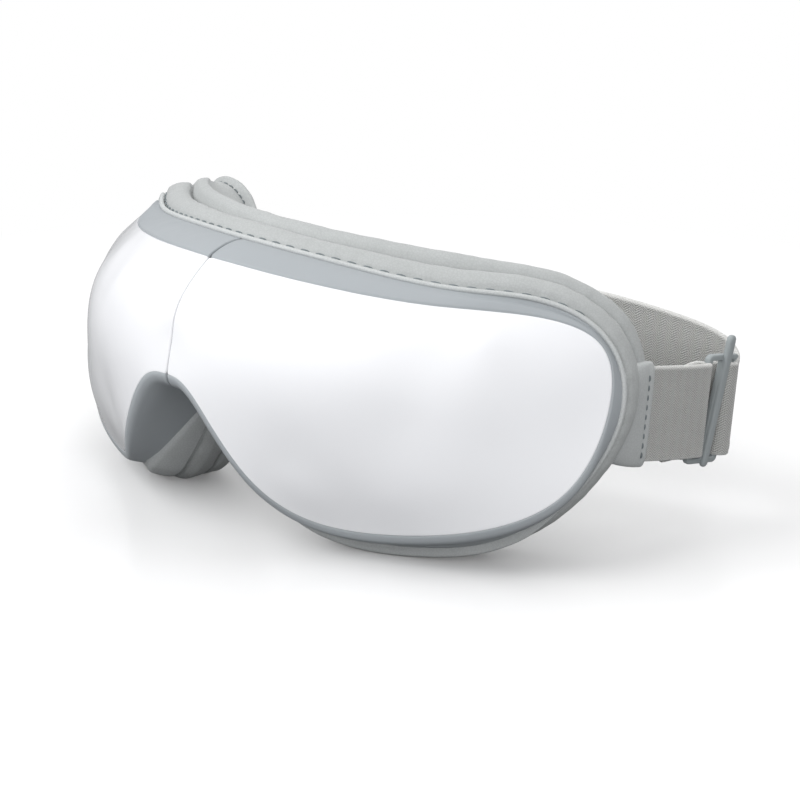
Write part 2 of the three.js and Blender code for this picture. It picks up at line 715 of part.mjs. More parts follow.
// gap is from the plate to the slab's front face at its edge; lift raises the whole middle
// and crown thickens it.
function oval({ halfLength, halfHeight, gap, thick, lift, crown }) {
  return between(OVAL_CELLS, OVAL_CELLS, (i, j, side) => {
    const u = (2 * i) / OVAL_CELLS - 1;
    const v = (2 * j) / OVAL_CELLS - 1;
    const x = u * Math.sqrt(1 - (v * v) / 2);
    const y = v * Math.sqrt(1 - (u * u) / 2);
    const inner = 1 - Math.min(x * x + y * y, 1);
    const s = OVAL_S + halfLength * x;
    const z = OVAL_Z + halfHeight * y;
    const slab = side ? thick + crown * inner : 0;
    return place(s, z, rearDepth(s, z) + gap + lift * inner + slab);
  });
}
const AIRBAG = { halfLength: 36, halfHeight: 17.5, gap: 0.9, thick: 1.8, lift: 0, crown: 1.6 };
const HEATING = { halfLength: 39, halfHeight: 18.6, gap: 3.1, thick: 0.5, lift: 1.6, crown: 0 };
const EYE_PAD = { halfLength: 40.3, halfHeight: 20, gap: 4.1, thick: 1.8, lift: 1.6, crown: 0.6 };
addPair("airbag", oval(AIRBAG), SILICONE);
addPair("heating_film", oval(HEATING), FOIL);
addPair("eye_pad", oval(EYE_PAD), LINING);

// ---- hinge between the halves ----
const KNUCKLE_R = 3.1;
const PIN_R = 1.25;
const PIN_CLEARANCE = 0.06;
const PIN_HEAD_R = 2.2;
// Plan views [x, y] of the right leaf and of the arm out to each knuckle.
const LEAF_PLAN = [[3.6, 27.8], [16, 29.2], [16, 30.8], [6.2, 30], [3.6, 30]];
const ARM_PLAN = [[3.6, 28.2], [6.6, 28.6], [2.4, FOLD_AXIS_Y + 1.6], [0.6, FOLD_AXIS_Y - 2.6]];

function hingeLeaf(knuckles) {
  const pieces = [solid(prism(LEAF_PLAN, HINGE_HIGH - HINGE_LOW, HINGE_LOW))];
  for (const [low, high] of knuckles) {
    pieces.push(solid(prism(ARM_PLAN, high - low, low)));
    pieces.push(solid(rod(KNUCKLE_R, high - low, low).translate(0, FOLD_AXIS_Y, 0)));
  }
  const bore = rod(PIN_R + PIN_CLEARANCE, 40, HINGE_MID_Z - 20).translate(0, FOLD_AXIS_Y, 0);
  return geometryOf(union(pieces).subtract(solid(bore)));
}
for (const [label, side] of SIDES) {
  // the knuckles alternate, starting with the right half
  const own = KNUCKLES.filter((_, k) => k % 2 === (side > 0 ? 0 : 1));
  add("hinge_leaf_" + label, forSide(side, hingeLeaf(own)), INNER_PLASTIC);
}

function hingePin() {
  const [headLow, headHigh] = [27.6, 28.8];
  const profile = [
    [0, 0], [PIN_R, 0], [PIN_R, headLow],
    [PIN_HEAD_R, headLow], [PIN_HEAD_R, headHigh], [0, headHigh],
  ];
  return tidy(lathe(profile).translate(0, FOLD_AXIS_Y, HINGE_LOW - 0.4));
}
add("hinge_pin", hingePin(), STEEL);

// Screws that hold each leaf.
const SCREW = { radius: 1.9, length: 1, x: 12.4, y: 31.35, turn: 0.09 };
for (const [label, side] of SIDES) {
  [51, 69].forEach((z, k) => {
    const screw = new THREE.CylinderGeometry(SCREW.radius, SCREW.radius, SCREW.length, 12);
    const position = [side * SCREW.x, SCREW.y, z];
    add(`hinge_screw_${label}_${k + 1}`, tidy(screw), STEEL, position, [0, 0, side * SCREW.turn]);
  });
}

// ---- inside the shells ----
// Box sizes are along the front, in depth and in height.
addSeated("main_board", new THREE.BoxGeometry(34, 1.6, 26), BOARD, 1, [72, 40, 21.4]);
addSeated("battery", new THREE.BoxGeometry(42, 6.5, 28), CELL, -1, [48, 41, 16.5]);

// Round speaker, narrowing towards the front.
const speaker = lathe([[0, 0], [6.5, 0], [6.5, 2], [5, 3], [0, 3]], 18).rotateX(Math.PI / 2);
addSeated("speaker", tidy(speaker), BLACK, 1, [100, 44, 24.6]);

// ---- vibration motors: the shaft runs along the front, with a half-disc weight on its end ----
const MOTOR_R = 3.6;
const MOTOR_LENGTH = 11;
const MOTOR_SEAT = [60, 22.5, 14.2];
const WEIGHT_R = 3;
const WEIGHT_HUB_R = 1.1;

function vibrationMotor() {
  const can = rod(MOTOR_R, MOTOR_LENGTH, -MOTOR_LENGTH, 18);
  const shaft = rod(0.5, 1.6, -0.3, 12);
  return geometryOf(solid(can).add(solid(shaft))).rotateY(Math.PI / 2);
}
function motorWeight() {
  const shape = new THREE.Shape();
  shape.moveTo(-WEIGHT_R, 0);
  shape.absarc(0, 0, WEIGHT_R, Math.PI, 2 * Math.PI);
  shape.lineTo(WEIGHT_HUB_R, 0);
  shape.absarc(0, 0, WEIGHT_HUB_R, 0, Math.PI);
  shape.lineTo(-WEIGHT_R, 0);
  const settings = { depth: 3.4, bevelEnabled: false, curveSegments: 10 };
  const disc = new THREE.ExtrudeGeometry(shape, settings).translate(0, 0, 0.35);
  const bore = rod(0.56, 8, -4, 12);
  return geometryOf(solid(disc).subtract(solid(bore))).rotateY(Math.PI / 2);
}
for (const [label, side] of SIDES) {
  const motor = forSide(side, vibrationMotor());
  const weight = forSide(side, motorWeight());
  addSeated("vibration_motor_" + label, motor, STEEL, side, MOTOR_SEAT);
  addSeated("motor_weight_" + label, weight, STEEL, side, MOTOR_SEAT);
}

// ---- air pump: motor below, pump head above, eccentric between them ----
const PUMP_SEAT = [34, 37, 13.8];
const PUMP_CAN_HEIGHT = 13;

function pumpMotor() {
  const boss = PUMP_CAN_HEIGHT + 0.6;
  const can = lathe([
    [0, 0], [6.2, 0], [6.2, PUMP_CAN_HEIGHT], [1.5, PUMP_CAN_HEIGHT], [1.5, boss], [0, boss],
  ]);
  return geometryOf(solid(can).add(solid(rod(0.75, 3.8, PUMP_CAN_HEIGHT, 12))));
}
function pumpEccentric() {
  const disc = new THREE.CylinderGeometry(3.6, 3.6, 2.2, 20);
  disc.rotateX(Math.PI / 2).translate(1.3, 0, 15.2);
  return geometryOf(solid(disc).subtract(solid(rod(0.82, 8, 11, 12))));
}
function pumpHead() {
  const profile = [[0, 0], [6.6, 0], [6.6, 8], [1.6, 8], [1.6, 11], [0, 11]];
  return geometryOf(solid(lathe(profile))).translate(0, 0, 17.4);
}
addSeated("air_pump_motor", pumpMotor(), STEEL, 1, PUMP_SEAT);
addSeated("pump_eccentric", pumpEccentric(), INNER_PLASTIC, 1, PUMP_SEAT);
addSeated("air_pump_head", pumpHead(), INNER_PLASTIC, 1, PUMP_SEAT);
addSeated("air_valve", new THREE.BoxGeometry(8, 7, 6), BLACK, 1, [52, 57, 17]);

// ---- air tubes ----
const TUBE_R = 1.3;
// Centre lines: [s, z, d].
const TUBE_RIGHT = [[57.2, 57, 17], [60.5, 56.5, 17.4], [63, 55.5, 20], [63.4, 55.2, 23.4]];
const TUBE_LEFT = [
  [6, 64, 17], [20, 63, 17.6], [40, 61, 19], [56, 58, 20.4], [57.6, 57.6, 23.6],
];

function tube(side, points) {
  const path = points.map((point) => {
    const [x, y, z] = place(...point);
    return new THREE.Vector3(side * x, y, z);
  });
  const extrudePath = new THREE.CatmullRomCurve3(path, false, "centripetal");
  const circle = new THREE.Shape();
  circle.absarc(0, 0, TUBE_R, 0, 2 * Math.PI);
  return tidy(new THREE.ExtrudeGeometry(circle, { steps: 12, extrudePath, curveSegments: 8 }));
}
add("air_tube_right", tube(1, TUBE_RIGHT), SILICONE);
add("air_tube_left", tube(-1, TUBE_LEFT), SILICONE);

// ---- head strap ----
const LAYER_OFFSET = 2; // of each webbing layer from the middle of the buckle
const STRAP_END = 43; // distance from STRAP_START at which both layers end
const SECTION_CORNERS = [[-1, -1], [1, -1], [1, 1], [-1, 1]];

// Webbing through stations, each with its point, outward direction and lean.
function webbing(stations, thick = STRAP_THICK, width = STRAP_WIDTH) {
  return swept(stations.length, (k) => {
    const { point: [x, y, z], out, lean } = stations[k];
    const up = new THREE.Vector3(out.x * lean, out.y * lean, 1).normalize();
    return SECTION_CORNERS.map(([a, b]) => [
      x + (out.x * a * thick) / 2 + (up.x * b * width) / 2,
      y + (out.y * a * thick) / 2 + (up.y * b * width) / 2,
      z + (up.z * b * width) / 2,
    ]);
  });
}

// Station on the straight part, a distance from its start and an offset outwards.
function straight([distance, offset]) {
  const point = [
    STRAP_START[0] + strapDirection.x * distance + strapOut.x * offset,
    STRAP_START[1] + strapDirection.y * distance + strapOut.y * offset,
    STRAP_START[2] + strapSlope * distance,
  ];
  return { point, out: strapOut, lean: STRAP_LEAN };
}

function strapAnchor() {
  const gap = 0.35;
  const stations = [[-2, 0], [14, 0]].map(straight);
  const slot = webbing(stations, STRAP_THICK + 2 * gap, STRAP_WIDTH + 2 * gap);
  return geometryOf(solid(anchorBlock(0)).subtract(solid(slot)));
}
addPair("strap_anchor", strapAnchor(), INNER_PLASTIC);

// Inner and outer layers at the buckle: [distance, offset].
const INNER_LAYER = [[-1, 0], [6, 0], [12, -0.8], [18, -LAYER_OFFSET], [STRAP_END, -LAYER_OFFSET]];
const OUTER_LAYER = [[16, LAYER_OFFSET], [STRAP_END, LAYER_OFFSET]];
add("strap_right", webbing(INNER_LAYER.map(straight)), WEBBING);
add("strap_tail", webbing(OUTER_LAYER.map(straight)), WEBBING);

// The long rear part, from the left temple round to the buckle: [x, y, z].
const REAR_PATH = [
  [-94.69, 79.7, 38.8], [-94.2, 85.3, 37.85], [-93.7, 91, 37.2], [-90, 97, 38.6],
  [-80, 99.6, 41], [-60, 100.6, 43.4], [-15, 104, 44.8], [25, 110.5, 44.2],
  [55, 117.5, 42.6], [74, 124.6, 39.2], [84.4, 128.6, 35.4],
];
const REAR_STEPS = 22;

function rearStrap() {
  const { smoothstep } = THREE.MathUtils;
  const points = REAR_PATH.map((p) => new THREE.Vector3(...p));
  const curve = new THREE.CatmullRomCurve3(points, false, "centripetal");
  const stations = [];
  for (let k = 0; k <= REAR_STEPS; k++) {
    const t = k / REAR_STEPS;
    const tangent = curve.getTangent(t);
    const out = new THREE.Vector3(-tangent.y, tangent.x, 0).normalize();
    // it leans at both ends and stands upright between them
    const lean = STRAP_LEAN * (smoothstep(t, 0.6, 1) + 1 - smoothstep(t, 0.08, 0.4));
    stations.push({ point: curve.getPoint(t).toArray(), out, lean });
  }
  return webbing(stations);
}
add("strap_rear", rearStrap(), WEBBING);

// Three-bar slider: upright bars between the webbing layers, joined by two rails.
function strapBuckle() {
  const barPitch = 6;
  const barWidth = 2.2;
  const railHeight = 2.4;
  const opening = STRAP_WIDTH + 1.6;
  const pieces = [];
  for (const x of [-barPitch, 0, barPitch]) {
    pieces.push(solid(new THREE.BoxGeometry(barWidth, 1.9, opening + 2).translate(x, 0, 0)));
  }
  for (const end of [-1, 1]) {
    const rail = new THREE.BoxGeometry(2 * barPitch + barWidth, 3, railHeight);
    pieces.push(solid(rail.translate(0, 0, (end * (opening + railHeight)) / 2)));
  }
  return geometryOf(union(pieces))
    .rotateY(Math.atan(-strapSlope))
    .rotateX(Math.atan(STRAP_LEAN))
    .rotateZ(strapAngle)
    .translate(...straight([34.8, 0]).point);
}
add("strap_buckle", strapBuckle(), SATIN_GREY);

export default mask;
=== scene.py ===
"""A folding eye mask in two hinged halves, with a face cushion, eye pads and a head strap.

The mask stands on z = 0. Its glossy front looks towards -Y, the wearer's face is on the +Y side,
and the halves meet at a seam on x = 0. Half "right" lies at +X and half "left" at -X.
Everything is drawn in millimetres and turned into metres when a mesh is made.
"""

import json
import math

import bmesh
import bpy
import numpy as np
from mathutils import Matrix, Vector


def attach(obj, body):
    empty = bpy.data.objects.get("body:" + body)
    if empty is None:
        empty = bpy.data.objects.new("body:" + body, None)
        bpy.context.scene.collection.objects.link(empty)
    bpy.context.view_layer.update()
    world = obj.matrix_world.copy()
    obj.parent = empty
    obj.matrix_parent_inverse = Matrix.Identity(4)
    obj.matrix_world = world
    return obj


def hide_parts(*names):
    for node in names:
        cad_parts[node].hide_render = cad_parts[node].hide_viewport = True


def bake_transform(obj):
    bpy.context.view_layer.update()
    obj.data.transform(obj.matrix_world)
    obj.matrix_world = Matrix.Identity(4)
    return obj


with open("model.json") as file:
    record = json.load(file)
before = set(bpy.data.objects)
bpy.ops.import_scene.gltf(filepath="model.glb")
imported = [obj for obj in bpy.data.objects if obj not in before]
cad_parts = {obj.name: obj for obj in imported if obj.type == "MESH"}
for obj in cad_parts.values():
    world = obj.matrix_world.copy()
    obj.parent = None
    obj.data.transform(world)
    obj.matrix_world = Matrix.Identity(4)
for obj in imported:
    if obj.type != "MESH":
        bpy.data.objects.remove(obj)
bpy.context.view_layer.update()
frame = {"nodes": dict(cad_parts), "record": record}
SIDE_NAMES = {1: "right", -1: "left"}
MIRROR = np.array([-1, 1, 1])

# ---------------------------------------------------------------- the drawing
# A half is drawn unrolled: arc along the curved front from the seam, z height, and depth
# towards the face. A station runs round a half's outline: 0 at the seam's top, over the brow,
# round the temple and back along the underside to 1 at the seam's foot.
ORIGIN_Y = 64.18  # from the front of the shell's middle to the world's origin
# Heading of the front seen from above, in radians: linear and cubic terms of arc / BEND_LENGTH
BEND_LENGTH, BEND_LINEAR, BEND_CUBIC = 117.13, 0.8328, -0.2513
ARC_MAX, ARC_STEP = 175, 0.25
DOME_Z, DOME_POWER = 55.6, 2.176  # height of the dome's middle, and how it falls off
BACK_Z, BACK_DEPTH, BACK_POWER = DOME_Z - 8, 26.4, 2
# Outlines at even stations: arc, z, depth
SHELL_OUTLINE = [
    (0, 76.2, 13.8), (38.1, 74.1, 16.4), (72.3, 70.8, 21.6), (96.3, 68.5, 28.5),
    (119.6, 62.2, 31.2), (124.4, 44.2, 26.2), (115.9, 24.7, 17), (97.3, 14.6, 11.4),
    (73.8, 10.2, 10), (45.8, 10, 8.6), (26.3, 22.3, 1.2), (10.7, 42.2, -2.4), (0, 46, -2)]
RIM_OUTLINE = [
    (0, 79, 25.7), (39.7, 76.8, 27.7), (75.7, 73.1, 29.7), (100.7, 71.1, 33.2),
    (120.3, 62.9, 33.7), (127.1, 43.6, 29.1), (114.8, 20.9, 22.9), (94.4, 7.2, 21),
    (73, 2.9, 20.9), (43.8, 3.3, 21.5), (23.2, 16.7, 22.4), (8.6, 37.8, 25.2), (0, 41.5, 27.2)]


def running_sum(steps):
    return np.concatenate([[0], np.cumsum(steps)])


def run_length(points):
    return running_sum(np.linalg.norm(np.diff(points, axis=0), axis=1))


def unit(vectors):
    return vectors / np.linalg.norm(vectors, axis=-1, keepdims=True)


def circle(count):
    return np.linspace(0, 2 * np.pi, count, endpoint=False)


def look_up(value, table):
    """Straight-line interpolation in a table of pairs."""
    return np.interp(value, *zip(*table))


def bell(value, centre, width):
    return np.exp(-((value - centre) / width) ** 2)


def integrate(values):
    return running_sum(ARC_STEP / 2 * (values[1:] + values[:-1]))


bend_arc = np.arange(0, int(ARC_MAX / ARC_STEP) + 1) * ARC_STEP
_bent = np.minimum(bend_arc / BEND_LENGTH, 1)
bend_heading = BEND_LINEAR * _bent + BEND_CUBIC * _bent ** 3
bend_x, bend_y = integrate(np.cos(bend_heading)), integrate(np.sin(bend_heading))


def place(arc, z, depth):
    """x, y, z in millimetres of unrolled coordinates."""
    arc, z, depth = np.broadcast_arrays(*(np.asarray(q, float) for q in (arc, z, depth)))
    inside = np.clip(arc, 0, ARC_MAX)
    x, y, heading = (np.interp(inside, bend_arc, q) for q in (bend_x, bend_y, bend_heading))
    return np.stack([x - depth * np.sin(heading) + np.minimum(arc, 0),
                     y + depth * np.cos(heading), z], -1)


def place_clear(points, seam):
    """Places unrolled points and keeps them at least seam from x = 0."""
    placed = place(np.maximum(points[..., 0], 0), points[..., 1], points[..., 2])
    placed[..., 0] = np.maximum(placed[..., 0], seam)
    return placed


def metres(points):
    return (np.asarray(points, float) - [0, ORIGIN_Y, 0]) * 0.001


def spline(values, flat):
    """Cubic spline over 0..1 through even knots, with ends level (flat) or free of bending."""
    values = np.array(values, float)
    count, step = len(values), 1 / (len(values) - 1)
    scale = 6 / (step * step)
    matrix, target = np.zeros((count, count)), np.zeros(count)
    for i in range(1, count - 1):
        matrix[i, i - 1:i + 2] = 1, 4, 1
        target[i] = scale * (values[i + 1] - 2 * values[i] + values[i - 1])
    for end, beside in ((0, 1), (count - 1, count - 2)):
        matrix[end, end] = 2 if flat else 1
        if flat:
            matrix[end, beside] = 1
            target[end] = scale * (values[beside] - values[end])
    bends = np.linalg.solve(matrix, target)

    def curve(at):
        at = np.asarray(at, float)
        i = np.minimum((at / step).astype(int), count - 2)
        after = (at - i * step) / step
        before = 1 - after
        bend = (before ** 3 - before) * bends[i] + (after ** 3 - after) * bends[i + 1]
        return before * values[i] + after * values[i + 1] + step * step / 6 * bend
    return curve


class Outline:
    """A smooth outline; gives (arc, z, depth), moved outwards by out and facewards by deep."""

    def __init__(self, points):
        columns = np.array(points, float).T
        self.arc, self.z, self.depth = (spline(q, k > 0) for k, q in enumerate(columns))

    def __call__(self, station, out=0.0, deep=0.0):
        station = np.clip(np.asarray(station, float), 0, 1)
        before, after = np.maximum(station - 1e-3, 0), np.minimum(station + 1e-3, 1)
        run = self.arc(after) - self.arc(before)
        at_end = (station <= 0) | (station >= 1)
        rise = np.where(at_end, 0, self.z(after) - self.z(before))
        length = np.hypot(run, rise)
        return (np.maximum(self.arc(station), 0) - rise / length * out,
                self.z(station) + run / length * out, self.depth(station) + deep)


shell_edge, rim_edge = Outline(SHELL_OUTLINE), Outline(RIM_OUTLINE)


def rim_normal(station):
    """Outward direction of the rim in (arc, z)."""
    rim, beyond = rim_edge(station), rim_edge(station, 1.0)
    return beyond[0] - rim[0], beyond[1] - rim[1]


class Surface:
    """Smooth depth over (arc, z), even in arc; samples are arc, z, depth, slack."""

    def __init__(self, samples):
        self.samples = np.array(samples, float)
        arc, z, depth, slack = self.samples.T
        count = len(arc)
        matrix = np.zeros((count + 2, count + 2))
        matrix[:count, :count] = self.kernel(arc, z) + np.diag(slack)
        matrix[:count, count] = matrix[count, :count] = 1
        matrix[:count, count + 1] = matrix[count + 1, :count] = z
        self.weights = np.linalg.solve(matrix, np.concatenate([depth, [0, 0]]))

    def kernel(self, arc, z):
        def bend(across, up):
            square = np.maximum(across * across + up * up, 1e-12)
            return 0.5 * square * np.log(square)
        arc, z = arc[..., None], z[..., None]
        known_arc, known_z = self.samples[:, 0], self.samples[:, 1]
        return bend(arc - known_arc, z - known_z) + bend(arc + known_arc, z - known_z)

    def __call__(self, arc, z):
        arc, z = np.broadcast_arrays(np.asarray(arc, float), np.asarray(z, float))
        flat_arc, flat_z = arc.ravel(), z.ravel()
        depth = np.empty(len(flat_arc))
        chunk = 20000  # limits memory
        for k in range(0, len(flat_arc), chunk):
            part = slice(k, k + chunk)
            bending = self.kernel(flat_arc[part], flat_z[part]) @ self.weights[:-2]
            depth[part] = bending + self.weights[-2] + self.weights[-1] * flat_z[part]
        return depth.reshape(arc.shape)


def surface_samples(edge, middle_z, middle_depth, power):
    """The middle and the edge held firmly, and a dome loosely followed between them."""
    firm, loose = 1.5, 40
    samples = [(0, middle_z, middle_depth, firm)]
    samples += [(*map(float, edge(k / 48)), firm) for k in range(49)]
    for k in range(10):
        arc, z, depth = map(float, edge(k * 0.078))
        for reach in ((0.3, 0.55, 0.8) if k < 5 else (0.6, 0.8)):
            samples.append((arc * reach, middle_z + (z - middle_z) * reach,
                            middle_depth + (depth - middle_depth) * reach ** power, loose))
    return samples


front = Surface(surface_samples(shell_edge, DOME_Z, 0, DOME_POWER))
rear = Surface(surface_samples(rim_edge, BACK_Z, BACK_DEPTH, BACK_POWER))


def on_surface(surface, arc, z, depth):
    """(arc, z, depth) of a surface point moved facewards by depth along the normal."""
    step = 0.05
    slope_arc = (surface(arc + step, z) - surface(arc - step, z)) / (2 * step)
    slope_z = (surface(arc, z + step) - surface(arc, z - step)) / (2 * step)
    length = np.sqrt(slope_arc * slope_arc + slope_z * slope_z + 1)
    return (arc - depth * slope_arc / length, z - depth * slope_z / length,
            surface(arc, z) + depth / length)


# One half as a four-sided grid: seam, top edge, temple, bottom edge.
CORNER_ARC = 104
_stations = np.linspace(0, 1, 4001)
_arcs = shell_edge(_stations)[0]
_upper, _lower = _stations <= 0.34, _stations >= 0.5
TOP = _arcs[_upper], _stations[_upper]
BOTTOM = _arcs[_lower][::-1], _stations[_lower][::-1]


def edge_station(edge, fraction, start=0.0):
    """Station on the TOP or BOTTOM edge, a fraction of the way from arc start to the corner."""
    return np.interp(start + fraction * (CORNER_ARC - start), *edge)


TOP_CORNER, BOTTOM_CORNER = float(edge_station(TOP, 1)), float(edge_station(BOTTOM, 1))


def temple_station(fraction):
    return BOTTOM_CORNER + (TOP_CORNER - BOTTOM_CORNER) * fraction


def patch(edge, u, v, out=0.0, start=0.0):
    """(arc, z) inside an outline: u from seam to temple, v from bottom to top."""
    top, bottom = (edge(edge_station(side, u, start), out) for side in (TOP, BOTTOM))
    temple = edge(temple_station(v), out)
    seam_foot, seam_top = (edge(edge_station(side, 0, start), out) for side in (BOTTOM, TOP))
    temple_foot, temple_top = edge(BOTTOM_CORNER, out), edge(TOP_CORNER, out)
    result = []
    for c in (0, 1):
        seam_line = (1 - v) * seam_foot[c] + v * seam_top[c]
        temple_line = (1 - v) * temple_foot[c] + v * temple_top[c]
        left = start if c == 0 else seam_line
        result.append((1 - v) * bottom[c] + v * top[c] + (1 - u) * left + u * temple[c]
                      - (1 - u) * seam_line - u * temple_line)
    return result


# ---------------------------------------------------------------- mesh helpers
def make(name, points, faces, side=1, uv=None):
    """A smooth mesh object from millimetres; side -1 mirrors it to the left half."""
    points = np.array(points, float).reshape(-1, 3)
    faces = [list(face) for face in faces]
    if side < 0:
        points = points * MIRROR
        faces = [face[::-1] for face in faces]
    mesh = bpy.data.meshes.new(name)
    mesh.from_pydata(metres(points).tolist(), [], faces)
    mesh.validate()
    mesh.shade_smooth()
    ob = bpy.data.objects.new(name, mesh)
    bpy.context.scene.collection.objects.link(ob)
    if uv is not None:
        layer = mesh.uv_layers.new(name="UVMap")
        index = np.empty(len(mesh.loops), int)
        mesh.loops.foreach_get("vertex_index", index)
        layer.data.foreach_set("uv", np.asarray(uv, np.float32)[index].ravel())
    return ob


def tidy(ob, merge=1e-7, outward=True):
    """Merges doubles closer than merge metres and turns normals outwards."""
    edit = bmesh.new()
    edit.from_mesh(ob.data)
    if merge:
        bmesh.ops.remove_doubles(edit, verts=edit.verts, dist=merge)
    if outward:
        bmesh.ops.recalc_face_normals(edit, faces=edit.faces)
    edit.to_mesh(ob.data)
    edit.free()
    ob.data.update()
    return ob


def apply_modifiers(ob):
    with bpy.context.temp_override(object=ob, active_object=ob):
        for name in [modifier.name for modifier in ob.modifiers]:
            bpy.ops.object.modifier_apply(modifier=name)
    ob.data.shade_smooth()


def subdivide(ob):
    modifier = ob.modifiers.new("smooth", "SUBSURF")
    modifier.levels = modifier.render_levels = 1
    apply_modifiers(ob)


def grid_faces(rows, columns, base=0, wrap_i=False, wrap_j=False):
    i, j = np.meshgrid(np.arange(rows if wrap_i else rows - 1),
                       np.arange(columns if wrap_j else columns - 1), indexing="ij")
    next_i, next_j = (i + 1) % rows, (j + 1) % columns
    corners = [i * columns + j, next_i * columns + j,
               next_i * columns + next_j, i * columns + next_j]
    return (np.stack(corners, -1).reshape(-1, 4) + base).tolist()


def tube_faces(rings, sides, first_cap=True, last_cap=True):
    """Quads between closed rings of points, and a face over each capped end."""
    faces = grid_faces(rings, sides, wrap_j=True)
    if first_cap:
        faces.append(list(range(sides))[::-1])
    if last_cap:
        faces.append(list(range((rings - 1) * sides, rings * sides)))
    return faces


def border_loop(rows, columns):
    """Indices round a grid: seam side up, top outwards, temple down, bottom back."""
    last_row, last_column = (rows - 1) * columns, columns - 1
    return (list(range(columns))
            + [i * columns + last_column for i in range(1, rows)]
            + [last_row + j for j in range(columns - 2, -1, -1)]
            + [i * columns for i in range(rows - 2, 0, -1)])


def join_rings(first, second):
    count = len(first)
    return [[first[k], first[(k + 1) % count], second[(k + 1) % count], second[k]]
            for k in range(count)]


def reversed_grid(rows, columns, base):
    return [face[::-1] for face in grid_faces(rows, columns, base)]


def slab_faces(rows, columns):
    """Two equal grids, one after the other, closed along their borders."""
    count = rows * columns
    loop = border_loop(rows, columns)
    return (grid_faces(rows, columns) + reversed_grid(rows, columns, count)
            + join_rings(loop, [k + count for k in loop]))


def tube(points, radius, sides=8, closed=False, up=(0, 0, 1.0)):
    """A round cord along points: vertices and faces."""
    points = np.asarray(points, float)
    if closed:
        forward = unit(np.roll(points, -1, 0) - np.roll(points, 1, 0))
    else:
        forward = unit(np.gradient(points, axis=0))
    across = unit(np.cross(forward, up))
    over = np.cross(across, forward)
    radius = np.broadcast_to(radius, len(points))[:, None, None]
    angle = circle(sides)[:, None]
    rings = points[:, None] + radius * (np.cos(angle) * across[:, None]
                                        + np.sin(angle) * over[:, None])
    if closed:
        faces = grid_faces(len(points), sides, wrap_i=True, wrap_j=True)
    else:
        faces = tube_faces(len(points), sides)
    return rings.reshape(-1, 3), faces


def merge_bodies(bodies):
    """One list of points and one of faces from many small bodies."""
    points, faces, count = [], [], 0
    for body_points, body_faces in bodies:
        points.append(body_points)
        faces += [[k + count for k in face] for face in body_faces]
        count += len(body_points)
    return np.concatenate(points), faces


def stitch(start, end, up, radius, bury):
    """One thread stitch that dips at its ends by about bury."""
    along = np.linspace(0, 1, 7)[:, None]
    arch = np.sin(np.pi * along) ** 0.6 * bury - bury * 0.75
    points = start + (end - start) * along + up * arch
    taper = 0.55 + 0.45 * np.sin(np.pi * along[:, 0]) ** 0.5
    return tube(points, radius * taper, sides=6, up=up)


def squarish(value, power):
    """Bends a sine or cosine so that its circle becomes a rounded box."""
    return np.sign(value) * np.abs(value) ** power


def round_end(excess, length):
    """Height of a rounded end, 1 before it starts, for how far a point is past its start."""
    return math.sqrt(max(0.0, 1 - (max(0.0, excess) / length) ** 2))


# ---------------------------------------------------------------- materials
def srgb(*colour):
    return tuple(c / 12.92 if c <= 0.04045 else ((c + 0.055) / 1.055) ** 2.4
                 for c in colour) + (1.0,)


def tint(colour, factor, lift=0.0):
    return tuple(min(c * factor + lift, 1) for c in colour[:3]) + (1,)


class Nodes:
    """Short calls for building a node tree; most return an output socket."""

    def __init__(self, tree):
        self.tree = tree
        tree.nodes.clear()

    def link(self, source, target):
        self.tree.links.new(source, target)

    def node(self, kind, **settings):
        node = self.tree.nodes.new(kind)
        for key, value in settings.items():
            setattr(node, key, value)
        return node

    def feed(self, node, key, value):
        """Links a socket, or sets a plain value."""
        if isinstance(value, (int, float, tuple)):
            node.inputs[key].default_value = value
        else:
            self.link(value, node.inputs[key])

    def coords(self, kind="Object"):
        return self.node("ShaderNodeTexCoord").outputs[kind]

    def noise(self, scale, detail=2.0, rough=0.5, vector=None, distortion=0.0):
        node = self.node("ShaderNodeTexNoise")
        node.inputs["Scale"].default_value = scale
        node.inputs["Detail"].default_value = detail
        node.inputs["Roughness"].default_value = rough
        node.inputs["Distortion"].default_value = distortion
        self.link(vector or self.coords(), node.inputs["Vector"])
        return node.outputs["Fac"]

    def voronoi(self, scale, vector=None, feature="F1", output="Distance"):
        node = self.node("ShaderNodeTexVoronoi", feature=feature)
        node.inputs["Scale"].default_value = scale
        self.link(vector or self.coords(), node.inputs["Vector"])
        return node.outputs[output]

    def ramp(self, factor, *stops):
        """Colour ramp; stops are (position, colour)."""
        node = self.node("ShaderNodeValToRGB")
        elements = node.color_ramp.elements
        elements[0].position, elements[0].color = stops[0]
        elements[1].position, elements[1].color = stops[-1]
        for position, colour in stops[1:-1]:
            elements.new(position).color = colour
        self.link(factor, node.inputs[0])
        return node.outputs[0]

    def remap(self, value, old=(0.0, 1.0), new=(0.0, 1.0)):
        """Maps the range old onto the range new, clamped."""
        node = self.node("ShaderNodeMapRange")
        for prefix, pair in (("From", old), ("To", new)):
            for suffix, number in zip((" Min", " Max"), pair):
                node.inputs[prefix + suffix].default_value = number
        self.link(value, node.inputs["Value"])
        return node.outputs[0]

    def math(self, operation, *values):
        node = self.node("ShaderNodeMath", operation=operation)
        for k, value in enumerate(values):
            self.feed(node, k, value)
        return node.outputs[0]

    def weigh(self, first, first_share, second, second_share):
        return self.math("ADD", self.math("MULTIPLY", first, first_share),
                         self.math("MULTIPLY", second, second_share))

    def mix(self, factor, first, second):
        node = self.node("ShaderNodeMix", data_type="RGBA")
        for key, value in ((0, factor), (6, first), (7, second)):
            self.feed(node, key, value)
        return node.outputs[2]


